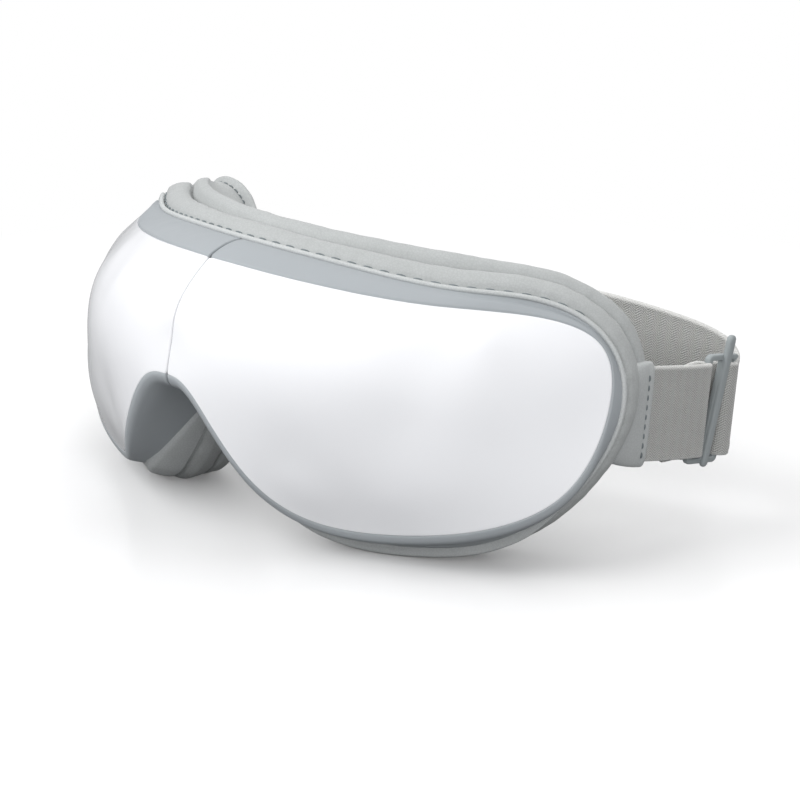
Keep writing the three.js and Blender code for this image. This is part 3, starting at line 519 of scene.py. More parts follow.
class Mat(Nodes):
    """A material with a Principled shader."""

    def __init__(self, name):
        self.material = bpy.data.materials.new(name)
        self.material.use_nodes = True
        super().__init__(self.material.node_tree)
        self.output = self.node("ShaderNodeOutputMaterial")
        self.shader = self.node("ShaderNodeBsdfPrincipled")
        self.link(self.shader.outputs[0], self.output.inputs[0])

    def drive(self, socket, key):
        self.link(socket, self.shader.inputs[key])

    def set(self, **values):
        for key, value in values.items():
            self.shader.inputs[key.replace("_", " ")].default_value = value

    def bump(self, height, strength, distance, normal=None):
        node = self.node("ShaderNodeBump")
        node.inputs["Strength"].default_value = strength
        node.inputs["Distance"].default_value = distance
        self.link(height, node.inputs["Height"])
        if normal is not None:
            self.link(normal, node.inputs["Normal"])
        self.drive(node.outputs[0], "Normal")
        return node.outputs[0]


def plastic(name, colour, rough, grain, spread, grain_scale=1980):
    """Moulded plastic: faint mottling of colour and gloss, mould texture, and a painted highlight
    that lightens convex edges.
    """
    mat = Mat(name)
    base = mat.ramp(mat.noise(scale=45, detail=3, rough=0.55),
                    (0.3, tint(colour, 1 - spread)), (0.7, tint(colour, 1 + spread)))
    pointed = mat.node("ShaderNodeNewGeometry").outputs["Pointiness"]
    # painted highlight: convex edges are lightened in the base colour
    painted_edge_highlight = mat.remap(pointed, old=(0.53, 0.62), new=(0, 0.35))
    mat.drive(mat.mix(painted_edge_highlight, base, tint(colour, 1.18, lift=0.02)), "Base Color")
    gloss = mat.noise(scale=160, detail=3, rough=0.6)
    mat.drive(mat.remap(gloss, old=(0.3, 0.7), new=(rough * 0.86, rough * 1.14)), "Roughness")
    fine = mat.noise(scale=grain_scale, detail=2, rough=0.6)
    mat.bump(fine, strength=grain, distance=0.0001)
    return mat


def gloss_white():
    mat = Mat("gloss_white")
    base = mat.ramp(mat.noise(scale=14), (0.35, srgb(0.945, 0.948, 0.96)),
                    (0.65, srgb(0.958, 0.961, 0.972)))
    mat.drive(base, "Base Color")
    gloss = mat.noise(scale=60, detail=3, rough=0.6)
    mat.drive(mat.remap(gloss, old=(0.3, 0.7), new=(0.2, 0.25)), "Roughness")
    mat.set(Coat_Weight=0.8, Coat_Roughness=0.07, Coat_IOR=1.5, Specular_IOR_Level=0.5,
            Subsurface_Weight=0.04, Subsurface_Radius=(0.004, 0.004, 0.004))
    return mat


def leather(name, colour, grain=1.0, rough=0.47, scale=1.0):
    """Soft leather: warped pebble grain with fine creases, darker in its valleys."""
    mat = Mat(name)
    position = mat.coords()
    warp = mat.node("ShaderNodeVectorMath", operation="MULTIPLY_ADD")
    wobble = mat.node("ShaderNodeTexNoise")
    wobble.inputs["Scale"].default_value = 420 * scale
    mat.link(position, wobble.inputs["Vector"])
    mat.link(wobble.outputs["Color"], warp.inputs[0])
    warp.inputs[1].default_value = (0.0011, 0.0011, 0.0011)  # metres of warp
    mat.link(position, warp.inputs[2])
    cells = mat.voronoi(1150 * scale, warp.outputs[0], "DISTANCE_TO_EDGE")
    pebble = mat.remap(cells, old=(0.0, 0.32))
    fine = mat.noise(scale=2600 * scale, detail=3, rough=0.6)
    broad = mat.noise(scale=70, detail=3, rough=0.55)
    height = mat.weigh(pebble, 0.75, fine, 0.25)
    tone = mat.mix(mat.remap(broad, old=(0.35, 0.65)), colour, tint(colour, 1.05))
    valley = mat.remap(pebble, old=(0, 0.5), new=(0.55, 0))
    mat.drive(mat.mix(valley, tone, tint(colour, 0.86)), "Base Color")
    mat.drive(mat.remap(height, new=(rough + 0.12, rough - 0.07)), "Roughness")
    mat.set(Sheen_Weight=0.12, Sheen_Roughness=0.4, Specular_IOR_Level=0.42)
    folds = mat.bump(mat.noise(scale=240 * scale, detail=3, rough=0.55),
                     strength=0.22 * grain, distance=0.0004)
    mat.bump(height, strength=0.3 * grain, distance=0.00012, normal=folds)
    return mat


def webbing():
    """Woven herringbone elastic with lighter selvages; its UV is in millimetres."""
    column, slant, rib_pitch, yarn_pitch = 1.8, 0.85, 0.74, 0.5
    face = srgb(0.74, 0.74, 0.73)
    light = tint(face, 1.25)
    mat = Mat("strap_webbing")
    split = mat.node("ShaderNodeSeparateXYZ")
    mat.link(mat.node("ShaderNodeUVMap", uv_map="UVMap").outputs[0], split.inputs[0])
    along, across = split.outputs[0], split.outputs[1]

    def wave(position, pitch):
        sine = mat.math("SINE", mat.math("MULTIPLY", position, 2 * math.pi / pitch))
        return mat.remap(sine, old=(-1, 1))
    # ribs run up one column and down the next
    zigzag = mat.math("PINGPONG", along, column)
    rib = wave(mat.math("ADD", across, mat.math("MULTIPLY", zigzag, slant)), rib_pitch)
    height = mat.weigh(rib, 0.7, wave(along, yarn_pitch), 0.3)
    selvage = mat.remap(mat.math("ABSOLUTE", across), old=(12.7, 13.3))
    fuzz = mat.noise(scale=2500, detail=3, rough=0.7)
    blotch = mat.noise(scale=160, detail=3)
    tone = mat.mix(mat.remap(height, old=(0.15, 0.8)), tint(face, 0.55), light)
    tone = mat.mix(mat.remap(blotch, old=(0.3, 0.7), new=(0, 0.35)), tone, face)
    tone = mat.mix(mat.remap(fuzz, old=(0.4, 0.7), new=(0, 0.25)), tone, light)
    tone = mat.mix(mat.math("MULTIPLY", selvage, 0.75), tone, srgb(0.86, 0.86, 0.85))
    mat.drive(tone, "Base Color")
    mat.set(Roughness=0.88, Sheen_Weight=0.35, Sheen_Roughness=0.5, Specular_IOR_Level=0.2)
    mat.bump(mat.math("ADD", height, mat.math("MULTIPLY", fuzz, 0.4)),
             strength=0.8, distance=0.00022)
    return mat


def metal(name, colour, rough, brushed):
    """Brushed metal; brushed stretches its noise along each axis."""
    mat = Mat(name)
    mapping = mat.node("ShaderNodeMapping")
    mapping.inputs["Scale"].default_value = brushed
    mat.link(mat.coords(), mapping.inputs[0])
    streaks = mat.noise(scale=900, detail=4, rough=0.6, vector=mapping.outputs[0])
    mat.drive(mat.ramp(streaks, (0.3, tint(colour, 0.85)), (0.7, colour)), "Base Color")
    gloss = mat.remap(streaks, old=(0.3, 0.7), new=(rough * 0.75, rough * 1.3))
    mat.drive(gloss, "Roughness")
    mat.set(Metallic=1.0)
    mat.bump(streaks, strength=0.15, distance=0.00005)
    return mat


def film():
    mat = Mat("polyimide_film")
    wave = mat.node("ShaderNodeTexWave", wave_type="BANDS", bands_direction="Z")
    wave.inputs["Scale"].default_value = 140
    mat.link(mat.coords(), wave.inputs["Vector"])
    bands = wave.outputs["Fac"]
    mat.drive(mat.ramp(bands, (0.35, srgb(0.78, 0.50, 0.18)), (0.5, srgb(0.70, 0.42, 0.15)),
                       (0.62, srgb(0.86, 0.60, 0.30))), "Base Color")
    mat.set(Roughness=0.32, Coat_Weight=0.4)
    mat.bump(bands, strength=0.3, distance=0.0001)
    return mat


def circuit_board():
    mat = Mat("circuit_board")
    cells = mat.voronoi(420, output="Color")
    patches = mat.remap(mat.noise(scale=160), old=(0.5, 0.6), new=(0, 0.6))
    mat.drive(mat.mix(patches, srgb(0.08, 0.34, 0.20), srgb(0.13, 0.45, 0.27)), "Base Color")
    mat.set(Roughness=0.38, Coat_Weight=0.3)
    mat.bump(cells, strength=0.2, distance=0.0002)
    return mat


def battery_wrap():
    mat = Mat("battery_wrap")
    creases = mat.noise(scale=70, detail=4, rough=0.6, distortion=0.8)
    mat.drive(mat.ramp(creases, (0.3, srgb(0.62, 0.65, 0.68)), (0.7, srgb(0.74, 0.76, 0.78))),
              "Base Color")
    mat.drive(mat.remap(creases, old=(0.3, 0.7), new=(0.25, 0.5)), "Roughness")
    mat.set(Metallic=0.55)
    mat.bump(creases, strength=0.35, distance=0.0006)
    return mat


WHITE = gloss_white()
SATIN = plastic("satin_blue_grey", srgb(0.635, 0.655, 0.67), rough=0.36, grain=0.12, spread=0.012)
BUCKLE_GREY = plastic("buckle_grey", srgb(0.62, 0.645, 0.652), rough=0.34, grain=0.15, spread=0.03)
LEATHER = leather("cushion_leather", srgb(0.685, 0.696, 0.695))
PIPING = leather("piping_leather", srgb(0.75, 0.762, 0.762), grain=0.6, rough=0.5)
LINING = leather("lining_leather", srgb(0.765, 0.775, 0.775), grain=0.9, rough=0.6)
PAD = leather("eye_pad_leather", srgb(0.80, 0.807, 0.805), grain=0.8, rough=0.62, scale=1.3)
WEB = webbing()
THREAD_LOOK = dict(rough=0.8, grain=0.6, spread=0.1, grain_scale=5500)
THREAD = plastic("thread_grey", srgb(0.46, 0.49, 0.50), **THREAD_LOOK)
LIGHT_THREAD = plastic("thread_light", srgb(0.66, 0.68, 0.68), **THREAD_LOOK)
INNER = plastic("inner_plastic", srgb(0.36, 0.375, 0.385), rough=0.6, grain=0.5, spread=0.06)
BLACK = plastic("black_plastic", srgb(0.13, 0.13, 0.14), rough=0.5, grain=0.5, spread=0.1)
SILICONE = plastic("silicone", srgb(0.80, 0.81, 0.80), rough=0.55, grain=0.2, spread=0.03)
STEEL = metal("brushed_steel", srgb(0.74, 0.75, 0.76), rough=0.3, brushed=(1, 1, 12))
CAN = metal("motor_can", srgb(0.70, 0.71, 0.72), rough=0.26, brushed=(10, 1, 1))
FILM, BOARD, CELL = film(), circuit_board(), battery_wrap()


def paint(ob, mat):
    ob.data.materials.clear()
    ob.data.materials.append(mat.material)


def finish(ob, mat, ride=None, replaces=()):
    """Paints an object, attaches it to the body it follows and hides the CAD parts it stands for.
    """
    paint(ob, mat)
    if ride:
        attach(ob, ride)
    if replaces:
        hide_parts(*replaces)


def fold_blend(ob):
    """Bakes the world transform of a piece that spans both halves into its mesh."""
    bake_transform(ob)


# ---------------------------------------------------------------- front shells
SHELL_GRID = 96, 64  # seam to temple, bottom to top
SHELL_SEAM = 0.17
SHELL_INSET, SHELL_ROLL, SHELL_WALL = 0.62, 0.42, 1.5


def dip_fill(arc, z, v):
    """Height that fills the dip between the lobe and the nose arch; nothing at the edge."""
    keep = np.clip(v * 4.8, 0, 1)
    centre = 34 + 0.45 * np.clip(34 - z, -6, 22)
    return 0.72 * np.exp(-(((arc - centre) / 8.5) ** 2) - ((z - 23) / 12) ** 2) * keep * (2 - keep)


def front_layer(points, depth):
    return np.stack(on_surface(front, points[:, 0], points[:, 1], depth), -1)


def build_shell(side):
    """Glossy dome: a fine outer surface, edges rolled over a small radius, an inner face."""
    rows, columns = SHELL_GRID
    u, v = np.meshgrid(np.linspace(0, 1, rows), np.linspace(0, 1, columns), indexing="ij")
    grid = np.stack(patch(shell_edge, u, v, -SHELL_INSET, SHELL_SEAM + SHELL_INSET), -1)
    grid = grid.reshape(-1, 2)
    loop = np.array(border_loop(rows, columns))
    border = grid[loop]
    tangent = unit(np.roll(border, -1, 0) - np.roll(border, 1, 0))
    out = np.stack([-tangent[:, 1], tangent[:, 0]], -1)
    out[:columns] = -1, 0
    out[0], out[columns - 1] = (-0.7, -0.7), (-0.7, 0.7)

    layers = [front_layer(grid, -dip_fill(grid[:, 0], grid[:, 1], v.reshape(-1)))]
    faces = grid_faces(rows, columns)
    # steps over the rolled edge: outwards, facewards
    flat = SHELL_INSET - SHELL_ROLL
    steps = [(flat, 0.0)]
    for angle in (0.3, 0.6, 0.9, 1.2, math.pi / 2):
        steps.append((flat + SHELL_ROLL * math.sin(angle),
                      SHELL_ROLL - SHELL_ROLL * math.cos(angle)))
    steps.append((SHELL_INSET, SHELL_WALL))
    base, previous = len(grid), list(loop)
    for outward, depth in steps:
        layers.append(front_layer(border + out * outward, depth))
        current = list(range(base, base + len(loop)))
        faces += join_rings(previous, current)
        previous, base = current, base + len(loop)
    layers.append(front_layer(grid, SHELL_WALL))
    faces += reversed_grid(rows, columns, base) + join_rings(previous, list(loop + base))

    name = SIDE_NAMES[side]
    points = place_clear(np.concatenate(layers), SHELL_SEAM)
    ob = tidy(make("shell_" + name, points, faces, side))
    finish(ob, WHITE, name + "_half", ["front_shell_" + name])


# ---------------------------------------------------------------- rear housings
BAND_GAP = 0.35  # between the shell's edge and the side band
HOUSING_SEAM = 0.52
PLATE_CELLS = 84, 44  # seam to temple, bottom to top
# Rings outwards from the plate and forwards over the band:
# place across the band (1 rim, 0 shell), and how far the ring is pulled in
HOUSING_RINGS = [
    (1.0, 0), (1.0, 0.18), (0.985, 0.05), (0.95, 0), (0.88, 0), (0.8, 0), (0.7, 0),
    (0.6, 0), (0.5, 0), (0.42, 0), (0.34, 0), (0.27, 0), (0.21, 0), (0.16, 0), (0.12, 0),
    (0.09, 0), (0.065, 0), (0.045, 0), (0.025, 0.08), (0.01, 0.22), (0.0, 0.42)]
# The lip under the band by station: height, how fast it rises, how far it reaches
LIP_HEIGHT = [(0.46, 1.55), (0.8, 1.6), (0.86, 2.2), (0.9, 3.2), (0.95, 4.4), (1, 5.2)]
LIP_RISE = [(0.46, 0.35), (0.8, 0.6), (0.86, 2.0), (0.9, 3.2), (1, 4.0)]
LIP_REACH = [(0.46, 5.0), (0.8, 5.0), (0.86, 9.0), (0.9, 12.0), (1, 15.0)]
LIP_FIRST = 1.5  # height reached at once
# Openings through the right half's underside: station, width, height
OPENINGS = [(0.70, 8.9, 5.1), (0.645, 9.8, 4.0)]


def underside(station):
    """1 along the underside and the nose arch, 0 over the brow and temple."""
    return 1 / (1 + np.exp(-(station - 0.46) / 0.02))


def beyond_shell(station, gap):
    """(arc, z, depth) of a point gap outside the shell's edge on the front surface."""
    edge, beyond = (np.array(on_surface(front, *shell_edge(station, out)[:2], 0.0))
                    for out in (0.0, 1.0))
    step = beyond - edge
    return edge + step / np.sqrt((step ** 2).sum(0)) * gap


def band_section(station, across):
    """(arc, z, depth) on the side band: across 0 at the shell, 1 at the rim."""
    start, rim = beyond_shell(station, BAND_GAP), np.array(rim_edge(station))
    width = np.maximum(rim[2] - start[2], 0.5)
    far = across * width
    # the band bulges outwards, most over the brow, with a lip along the arch and underside
    brow, low = np.exp(-((station / 0.30) ** 4)), underside(station)
    swell = (0.85 * brow + 0.5 * low) * np.minimum(width / 11, 1)
    rise = 1 - np.exp(-far / look_up(station, LIP_RISE))
    lip = LIP_FIRST * (1 - np.exp(-far / 0.3))
    lip = low * (lip + (look_up(station, LIP_HEIGHT) - LIP_FIRST) * rise)
    lip *= np.exp(-((far / look_up(station, LIP_REACH)) ** 2)) * (1 - across ** 4)
    hollow = 0.9 * bell(station, 0.27, 0.08) * bell(across, 0.78, 0.16)
    out = swell * np.sin(np.pi * np.clip(across, 0, 1)) ** 0.9 + lip - hollow
    normal = (*rim_normal(station), 0)
    return tuple(start[k] + (rim[k] - start[k]) * across + out * normal[k] for k in range(3))


def build_housing(side):
    """Rear plate and side band in one thick sheet."""
    plate_i, plate_j = PLATE_CELLS
    rings = len(HOUSING_RINGS) - 1
    rows, columns = plate_i + rings + 1, plate_j + 2 * rings + 1
    i, j = np.meshgrid(np.arange(rows), np.arange(columns), indexing="ij")
    j = j - rings
    ring = np.maximum.reduce([i - plate_i, -j, j - plate_j, np.zeros_like(i)])
    u, v = np.clip(i / plate_i, 0, 1), np.clip(j / plate_j, 0, 1)
    outwards = np.clip(i / (plate_i + ring), 0, 1)
    station = np.where(
        j == plate_j + ring, edge_station(TOP, outwards),
        np.where(j == -ring, edge_station(BOTTOM, outwards),
                 temple_station((j + ring) / (plate_j + 2 * ring))))
    station = np.clip(station, 0, 1)
    across, pull = np.array(HOUSING_RINGS).T[:, ring]
    normal_arc, normal_z = rim_normal(station)
    sheets = []
    for inner in (0, 1):
        arc, z = patch(rim_edge, u, v, -0.5 - 1.3 * inner)
        depth = rear(arc, z) - 0.25 - 1.2 * inner
        band_arc, band_z, band_depth = band_section(station, across)
        inward = pull + 1.4 * inner
        band_arc = band_arc - normal_arc * inward
        band_z = band_z - normal_z * inward
        if inner:  # keep the inner sheet between the shell and the rear surface
            depth = np.minimum(np.maximum(depth, front(arc, z) + 1.9), rear(arc, z) - 0.6)
            limit = np.where(across > 0.9, rear(band_arc, band_z) - 0.9, np.inf)
            band_depth = np.minimum(band_depth, limit)
            band_depth = np.maximum(band_depth, front(band_arc, band_z) + 1.75)
        points = np.where((ring == 0)[..., None], np.stack([arc, z, depth], -1),
                          np.stack([band_arc, band_z, band_depth], -1))
        sheets.append(place_clear(points, HOUSING_SEAM).reshape(-1, 3))
    name = SIDE_NAMES[side]
    ob = make("housing_" + name, np.concatenate(sheets), slab_faces(rows, columns), side)
    tidy(ob)
    if side > 0:
        cut_openings(ob)
    finish(ob, SATIN, name + "_half", ["rear_housing_" + name])


def underside_frame(station):
    """Centre of the band and its directions along, across and out (downwards)."""
    def ends(at):
        return place(*beyond_shell(at, 0.45)), place(*rim_edge(at))

    def middle(at):
        shell, rim = ends(at)
        return shell * 0.55 + rim * 0.45
    shell, rim = ends(station)
    along = unit(middle(station - 0.01) - middle(station + 0.01))
    out = unit(np.cross(along, unit(rim - shell)))
    if out[2] > 0:
        out = -out
    return middle(station), along, np.cross(out, along), out


def stadium(width, height):
    radius = height / 2
    angle = np.linspace(-np.pi / 2, np.pi / 2, 14)
    right = np.stack([width / 2 - radius + radius * np.cos(angle), radius * np.sin(angle)], -1)
    return np.concatenate([right, -right])


def cut_openings(ob):
    """Two round-ended openings through the underside."""
    for station, width, height in OPENINGS:
        centre, along, across, out = underside_frame(station)
        outline = stadium(width, height)
        flat = centre + outline[:, :1] * along + outline[:, 1:] * across
        points = np.concatenate([flat + -7.0 * out, flat + 4.0 * out])
        cutter = tidy(make("cutter", points, tube_faces(2, len(outline))))
        modifier = ob.modifiers.new("cut", "BOOLEAN")
        modifier.operation, modifier.object, modifier.solver = "DIFFERENCE", cutter, "EXACT"
        apply_modifiers(ob)
        bpy.data.objects.remove(cutter)


# ---------------------------------------------------------------- face cushion
# Sections are drawn as out (outwards from the rim) and rise (towards the face).
# Station, out of the crease between the two rolls, out of the rear roll's crest
ROLLS = [
    (0, 1.5, 3.1), (0.04, 1.5, 3.6), (0.08, 1.7, 4.3), (0.12, 2.1, 5.1), (0.16, 2.6, 5.5),
    (0.2, 2.8, 5.0), (0.24, 3.0, 4.5), (0.28, 2.9, 4.25), (0.32, 2.2, 4.0), (0.36, 1.9, 3.9),
    (0.40, 1.9, 3.6), (0.46, 2.1, 3.2), (0.54, 2.3, 2.9), (0.62, 2.5, 2.6), (0.70, 2.5, 2.5),
    (0.78, 2.6, 2.4), (0.86, 1.8, 1.6), (0.94, 1.0, 0.9), (1.0, 1.0, 0.8)]
# Station, out and rise of the ridge that meets the face; deepest where brow turns to temple
RIDGE = [
    (0, -3.0, 19.6), (0.10, -3.0, 20.0), (0.15, -3.6, 24.0), (0.19, -4.4, 28.6),
    (0.215, -2.2, 28.0), (0.24, 1.6, 25.6), (0.26, 4.3, 22.6), (0.28, 5.2, 19.2),
    (0.30, 4.9, 17.4), (0.33, 3.4, 17.0), (0.37, 1.0, 17.4), (0.5, 0.0, 17.8), (1.0, -2.0, 19.2)]
CUSHION_CENTRE = -4.5, 9.0
ROUND_STEPS = 230  # stations per half


def ridge(station, side):
    """Smoothed (out, rise) of the ridge; the left corner is puffed up more than the right."""
    stations, *columns = np.array(RIDGE).T
    result = []
    for column in columns:
        value = np.interp(station, stations, column)
        for k in (0.008, 0.014):
            value = (value + np.interp(station - k, stations, column)
                     + np.interp(station + k, stations, column)) / 3
        result.append(value)
    out, rise = result
    return out - np.where(np.asarray(side) > 0, 2.3, 0) * bell(station, 0.28, 0.04), rise


def seam_line(station, side):
    """(out, rise) of the stitched seam in front of the ridge."""
    out, rise = ridge(station, side)
    return out - 0.9, rise - 2.6


def section_points(station, side):
    """Control points (out, rise) of the cushion's section, as (station, point, 2)."""
    stations, creases, crests = np.array(ROLLS).T
    crease, crest = np.interp(station, stations, creases), np.interp(station, stations, crests)
    ridge_out, ridge_rise = ridge(station, side)
    seam_out, seam_rise = seam_line(station, side)
    corner = bell(station, 0.28, 0.06)
    fill = np.where(np.asarray(side) < 0, 1.0, 0) * bell(station, 0.31, 0.05)
    top = 1 / (1 + np.exp((station - 0.30) / 0.012))
    low = underside(station)
    narrow = 1 - 0.22 * np.clip(1 - np.minimum(station, 1 - station) / 0.1, 0, 1)
    roll_out, roll_rise = crest - 0.9 + 0.9 * fill, 15.0
    inner_out, inner_rise = ridge_out - 3.0, ridge_rise - 0.9
    wall_out, wall_rise = -12.2 * narrow, 7.5
    points = [
        # hem groove
        (-1.6, -0.2), (0.1 + 0.5 * low, 0.55), (-0.35 + 1.65 * low + 0.6 * top, 1.3),
        # front roll
        (crease * 0.55 + 0.75 + 0.3 * low, 2.2),
        (crease * 0.8 + 1.45 - 0.6 * corner, 4.0),
        (crease + 1.45 - 0.5 * low - 0.9 * corner, 5.8),
        (crease + 1.15 - 0.4 * low - 0.6 * corner, 7.4),
        # crease
        (crease + 0.3 + 0.3 * fill, 8.55),
        (crease - 1.35 + 0.5 * corner + 1.5 * fill, 9.25),
        (crease + 0.25 + 0.5 * fill, 9.95),
        # rear roll
        (crease * 0.35 + crest * 0.65 + 0.55, 11.1), (crest + 0.45, 12.8), (crest + 0.35, 14.1),
        (roll_out, roll_rise),
        ((roll_out + seam_out) / 2 - 0.8 + 0.9 * fill, (roll_rise + seam_rise) / 2),
        # seam
        (seam_out, seam_rise - 0.7), (seam_out - 0.55, seam_rise),
        (seam_out + 0.35, seam_rise + 0.75),
        # ridge
        (ridge_out + 0.5, ridge_rise - 1.0), (ridge_out, ridge_rise),
        (ridge_out - 1.5, ridge_rise + 0.25), (inner_out, inner_rise),
        # inner wall
        (inner_out * 0.62 + wall_out * 0.38 - 0.7, inner_rise * 0.62 + wall_rise * 0.38 + 0.8),
        (inner_out * 0.28 + wall_out * 0.72 - 0.7, inner_rise * 0.28 + wall_rise * 0.72 + 0.6),
        (-12.7 * narrow, 6.2), (-12.3 * narrow, 4.2), (-11.0 * narrow, 2.6),
        (-9.0 * narrow, 1.2), (-5.0 * narrow, 0.1)]
    return np.stack([np.stack([np.broadcast_to(value, station.shape) for value in point], -1)
                     for point in points], 1)


def closed_curve(control, steps):
    """Closed Catmull-Rom curves through control (station, point, 2)."""
    before, start, end, after = (np.roll(control, k, axis=1)[:, :, None] for k in (1, 0, -1, -2))
    at = (np.arange(steps) / steps)[None, None, :, None]
    curve = 0.5 * ((2 * start) + (end - before) * at
                   + (2 * before - 5 * start + 4 * end - after) * at ** 2
                   + (3 * start - before - 3 * end + after) * at ** 3)
    return curve.reshape(control.shape[0], -1, 2)


def loop_stations(count):
    """Stations evenly spaced along a half's rim, and the rim's length."""
    stations = np.linspace(0, 1, 2001)
    run = run_length(place(*rim_edge(stations)))
    return np.interp(np.linspace(0, run[-1], count), run, stations), run[-1]


def both_halves(stations):
    """Stations round the whole ring, right half 0..1 then left 1..0, and sides +1 / -1."""
    back_again = stations[::-1][1:-1]
    sides = np.concatenate([np.ones(len(stations)), -np.ones(len(back_again))])
    return np.concatenate([stations, back_again]), sides


def ring_point(station, out, rise):
    return place(*rim_edge(station, out, rise))


def settle(points):
    """Flattens what would sink below z = 0 into a soft foot."""
    soft, shift = 0.8, 0.35
    low = points[..., 2] + shift
    foot = np.maximum(soft * np.exp(np.minimum(low, soft) / soft - 1) - shift, 0.05)
    points[..., 2] = np.where(low < soft, foot, points[..., 2])
    return points


def smooth_noise(points, scale, seed):
    """Seeded band-limited noise from sums of sines, about -1..1."""
    random = np.random.default_rng(seed)
    waves, total = 14, np.zeros(points.shape[:-1])
    for _ in range(waves):
        wave = random.normal(size=3)
        wave *= (0.6 + 0.8 * random.random()) / np.linalg.norm(wave) * 2 * np.pi / scale
        total += np.sin(points @ wave + random.random() * 6.28)
    return total / waves ** 0.5 / 1.2


def pucker_noise(distance, rise):
    """Waves along the ring, about one in 6.5 mm, slanting a little."""
    random = np.random.default_rng(11)
    waves, total = 26, np.zeros_like(rise)
    for _ in range(waves):
        rate = random.uniform(0.5, 1.5)
        total += np.sin(rate * distance * (2 * np.pi / 6.5)
                        + random.uniform(-0.5, 0.5) * rise + random.random() * 6.28)
    return total / waves ** 0.5


def build_cushion():
    """The ring of two soft rolls round both halves, wrinkled near its seams."""
    stations, length = loop_stations(ROUND_STEPS)
    station, side = both_halves(stations)
    section = closed_curve(section_points(station, side), steps=4)
    out, rise = section[..., 0], section[..., 1]
    spread = np.repeat(station[:, None], out.shape[1], 1)
    points = ring_point(spread, out, rise)
    outward = unit(points - ring_point(spread, *CUSHION_CENTRE))
    # puckers are strongest round the temple, near the crease and near the hem
    distance = np.linspace(0, 2 * length, len(station), endpoint=False)[:, None]
    bend = bell(station, 0.36, 0.09) + 0.5 * bell(station, 0.8, 0.12) + 0.25
    near_seam = bell(rise, 9.25, 1.6) + bell(rise, 1.3, 1.3)
    amount = (0.05 + 0.16 * bend[:, None] * near_seam) * np.clip((out + 1) / 2, 0, 1)
    wrinkle = (amount * pucker_noise(distance, rise)
               + 0.16 * smooth_noise(points, scale=22, seed=3) * (1 - near_seam * 0.7))
    points = settle(points + outward * wrinkle[..., None])
    points[..., 0] *= side[:, None]
    faces = grid_faces(*out.shape, wrap_i=True, wrap_j=True)
    ob = tidy(make("face_cushion", points, faces))
    subdivide(ob)
    fold_blend(ob)
    finish(ob, LEATHER, replaces=["face_cushion_right", "face_cushion_left"])


def build_cushion_piping():
    station, side = both_halves(loop_stations(300)[0])
    points = settle(ring_point(station, 0.35, 0.25))
    points[:, 0] *= side
    ob = tidy(make("cushion_piping", *tube(points, radius=0.72, sides=10, closed=True)))
    fold_blend(ob)
    finish(ob, PIPING)


def build_ring_stitches(name, offset, pitch, share, radius, bury, shortest, last=1.0):
    """A row of stitches round the cushion; offset gives (out, rise) at a station and side.

    A stitch covers a share of the pitch. Those under shortest or past station last are left out.
    """
    stations, length = loop_stations(2001)
    distances = np.linspace(0, length, len(stations))

    def end(distance):
        side = 1 if distance <= length else -1
        if side < 0:
            distance = 2 * length - distance
        station = np.interp(np.clip(distance, 0, length), distances, stations)
        point, centre = (settle(ring_point(np.array([station]), *pair))[0]
                         for pair in (offset(station, side), CUSHION_CENTRE))
        flip = [side, 1, 1]
        return station, point * flip, unit(point - centre) * flip
    stitches = []
    for k in range(int(2 * length / pitch)):
        _, start, start_up = end(k * pitch)
        station, finish_point, finish_up = end(k * pitch + pitch * share)
        if np.linalg.norm(finish_point - start) < shortest or station > last:
            continue
        up = unit(start_up + finish_up)
        stitches.append(stitch(start, finish_point, up, radius, bury))
    ob = make(name, *merge_bodies(stitches))
    fold_blend(ob)
    finish(ob, THREAD)


def inner_seam_offset(station, side):
    out, rise = seam_line(station, side)
    return out - 0.35, rise


# The soft hem by station: where it starts across the band, and how plump it is
HEM_START = [
    (0.5, 0.93), (0.6, 0.86), (0.66, 0.80), (0.72, 0.74), (0.74, 0.60), (0.76, 0.42),
    (0.78, 0.38), (0.80, 0.47), (0.82, 0.56), (0.84, 0.66), (0.86, 0.77), (0.88, 0.88),
    (0.90, 0.98)]
HEM_PLUMP = [(0.5, 1.7), (0.56, 2.3), (0.74, 2.4), (0.785, 2.1), (0.81, 1.3), (0.9, 1.2)]
HEM_GRID = 150, 16  # along, across
HEM_SINK = 0.1, 0.4  # of its outer face and its underside, below the band's surface


def build_hem(side):
    """Soft hem of the cushion's cover, lapped over the underside of the housing."""
    length_steps, width_steps = HEM_GRID
    station = np.linspace(0.50, 0.90, length_steps)
    start, plump = look_up(station, HEM_START), look_up(station, HEM_PLUMP)
    size = np.clip(np.minimum((station - 0.50) / 0.05, (0.90 - station) / 0.02), 0, 1) ** 0.6
    normal_arc, normal_z = rim_normal(station)

    def row(fraction, lift):
        arc, z, depth = band_section(station, start + (1.0 - start) * fraction)
        return place(arc + normal_arc * lift, z + normal_z * lift, depth)
    rows = []
    for k in range(width_steps + 1):
        fraction = k / width_steps
        rounded = math.sqrt(1 - (1 - min(fraction / 0.16, 1.0)) ** 2)
        lift = plump * rounded + 0.25 * math.sin(math.pi * fraction)
        rows.append(row(fraction, lift * size - HEM_SINK[0]))
    rows += [row(1, -HEM_SINK[1]), row(0, -HEM_SINK[1])]
    points = np.stack(rows, 1)
    points[..., 2] = np.maximum(points[..., 2], 0.12)
    count = len(rows)
    faces = grid_faces(length_steps, count, wrap_j=True)
    faces.append(list(range(count)))
    faces.append(list(range((length_steps - 1) * count, length_steps * count))[::-1])
    name = SIDE_NAMES[side]
    ob = tidy(make("cover_hem_" + name, points, faces, side))
    finish(ob, PIPING, name + "_half")


# ---------------------------------------------------------------- lining and eye pads
PAD_ARC, PAD_Z = 67.6, 38.2
PAD_HALF_WIDTH, PAD_HALF_HEIGHT = 40.6, 20.3
PAD_RINGS, PAD_POINTS = 22, 96
QUILT_RING = round(PAD_RINGS * 0.74)
# Rings sunk along the quilting line: ring, depth
QUILT_SINK = [(QUILT_RING - 1, 0.12), (QUILT_RING, 0.45), (QUILT_RING + 1, 0.12)]
LINING_ROWS = 16


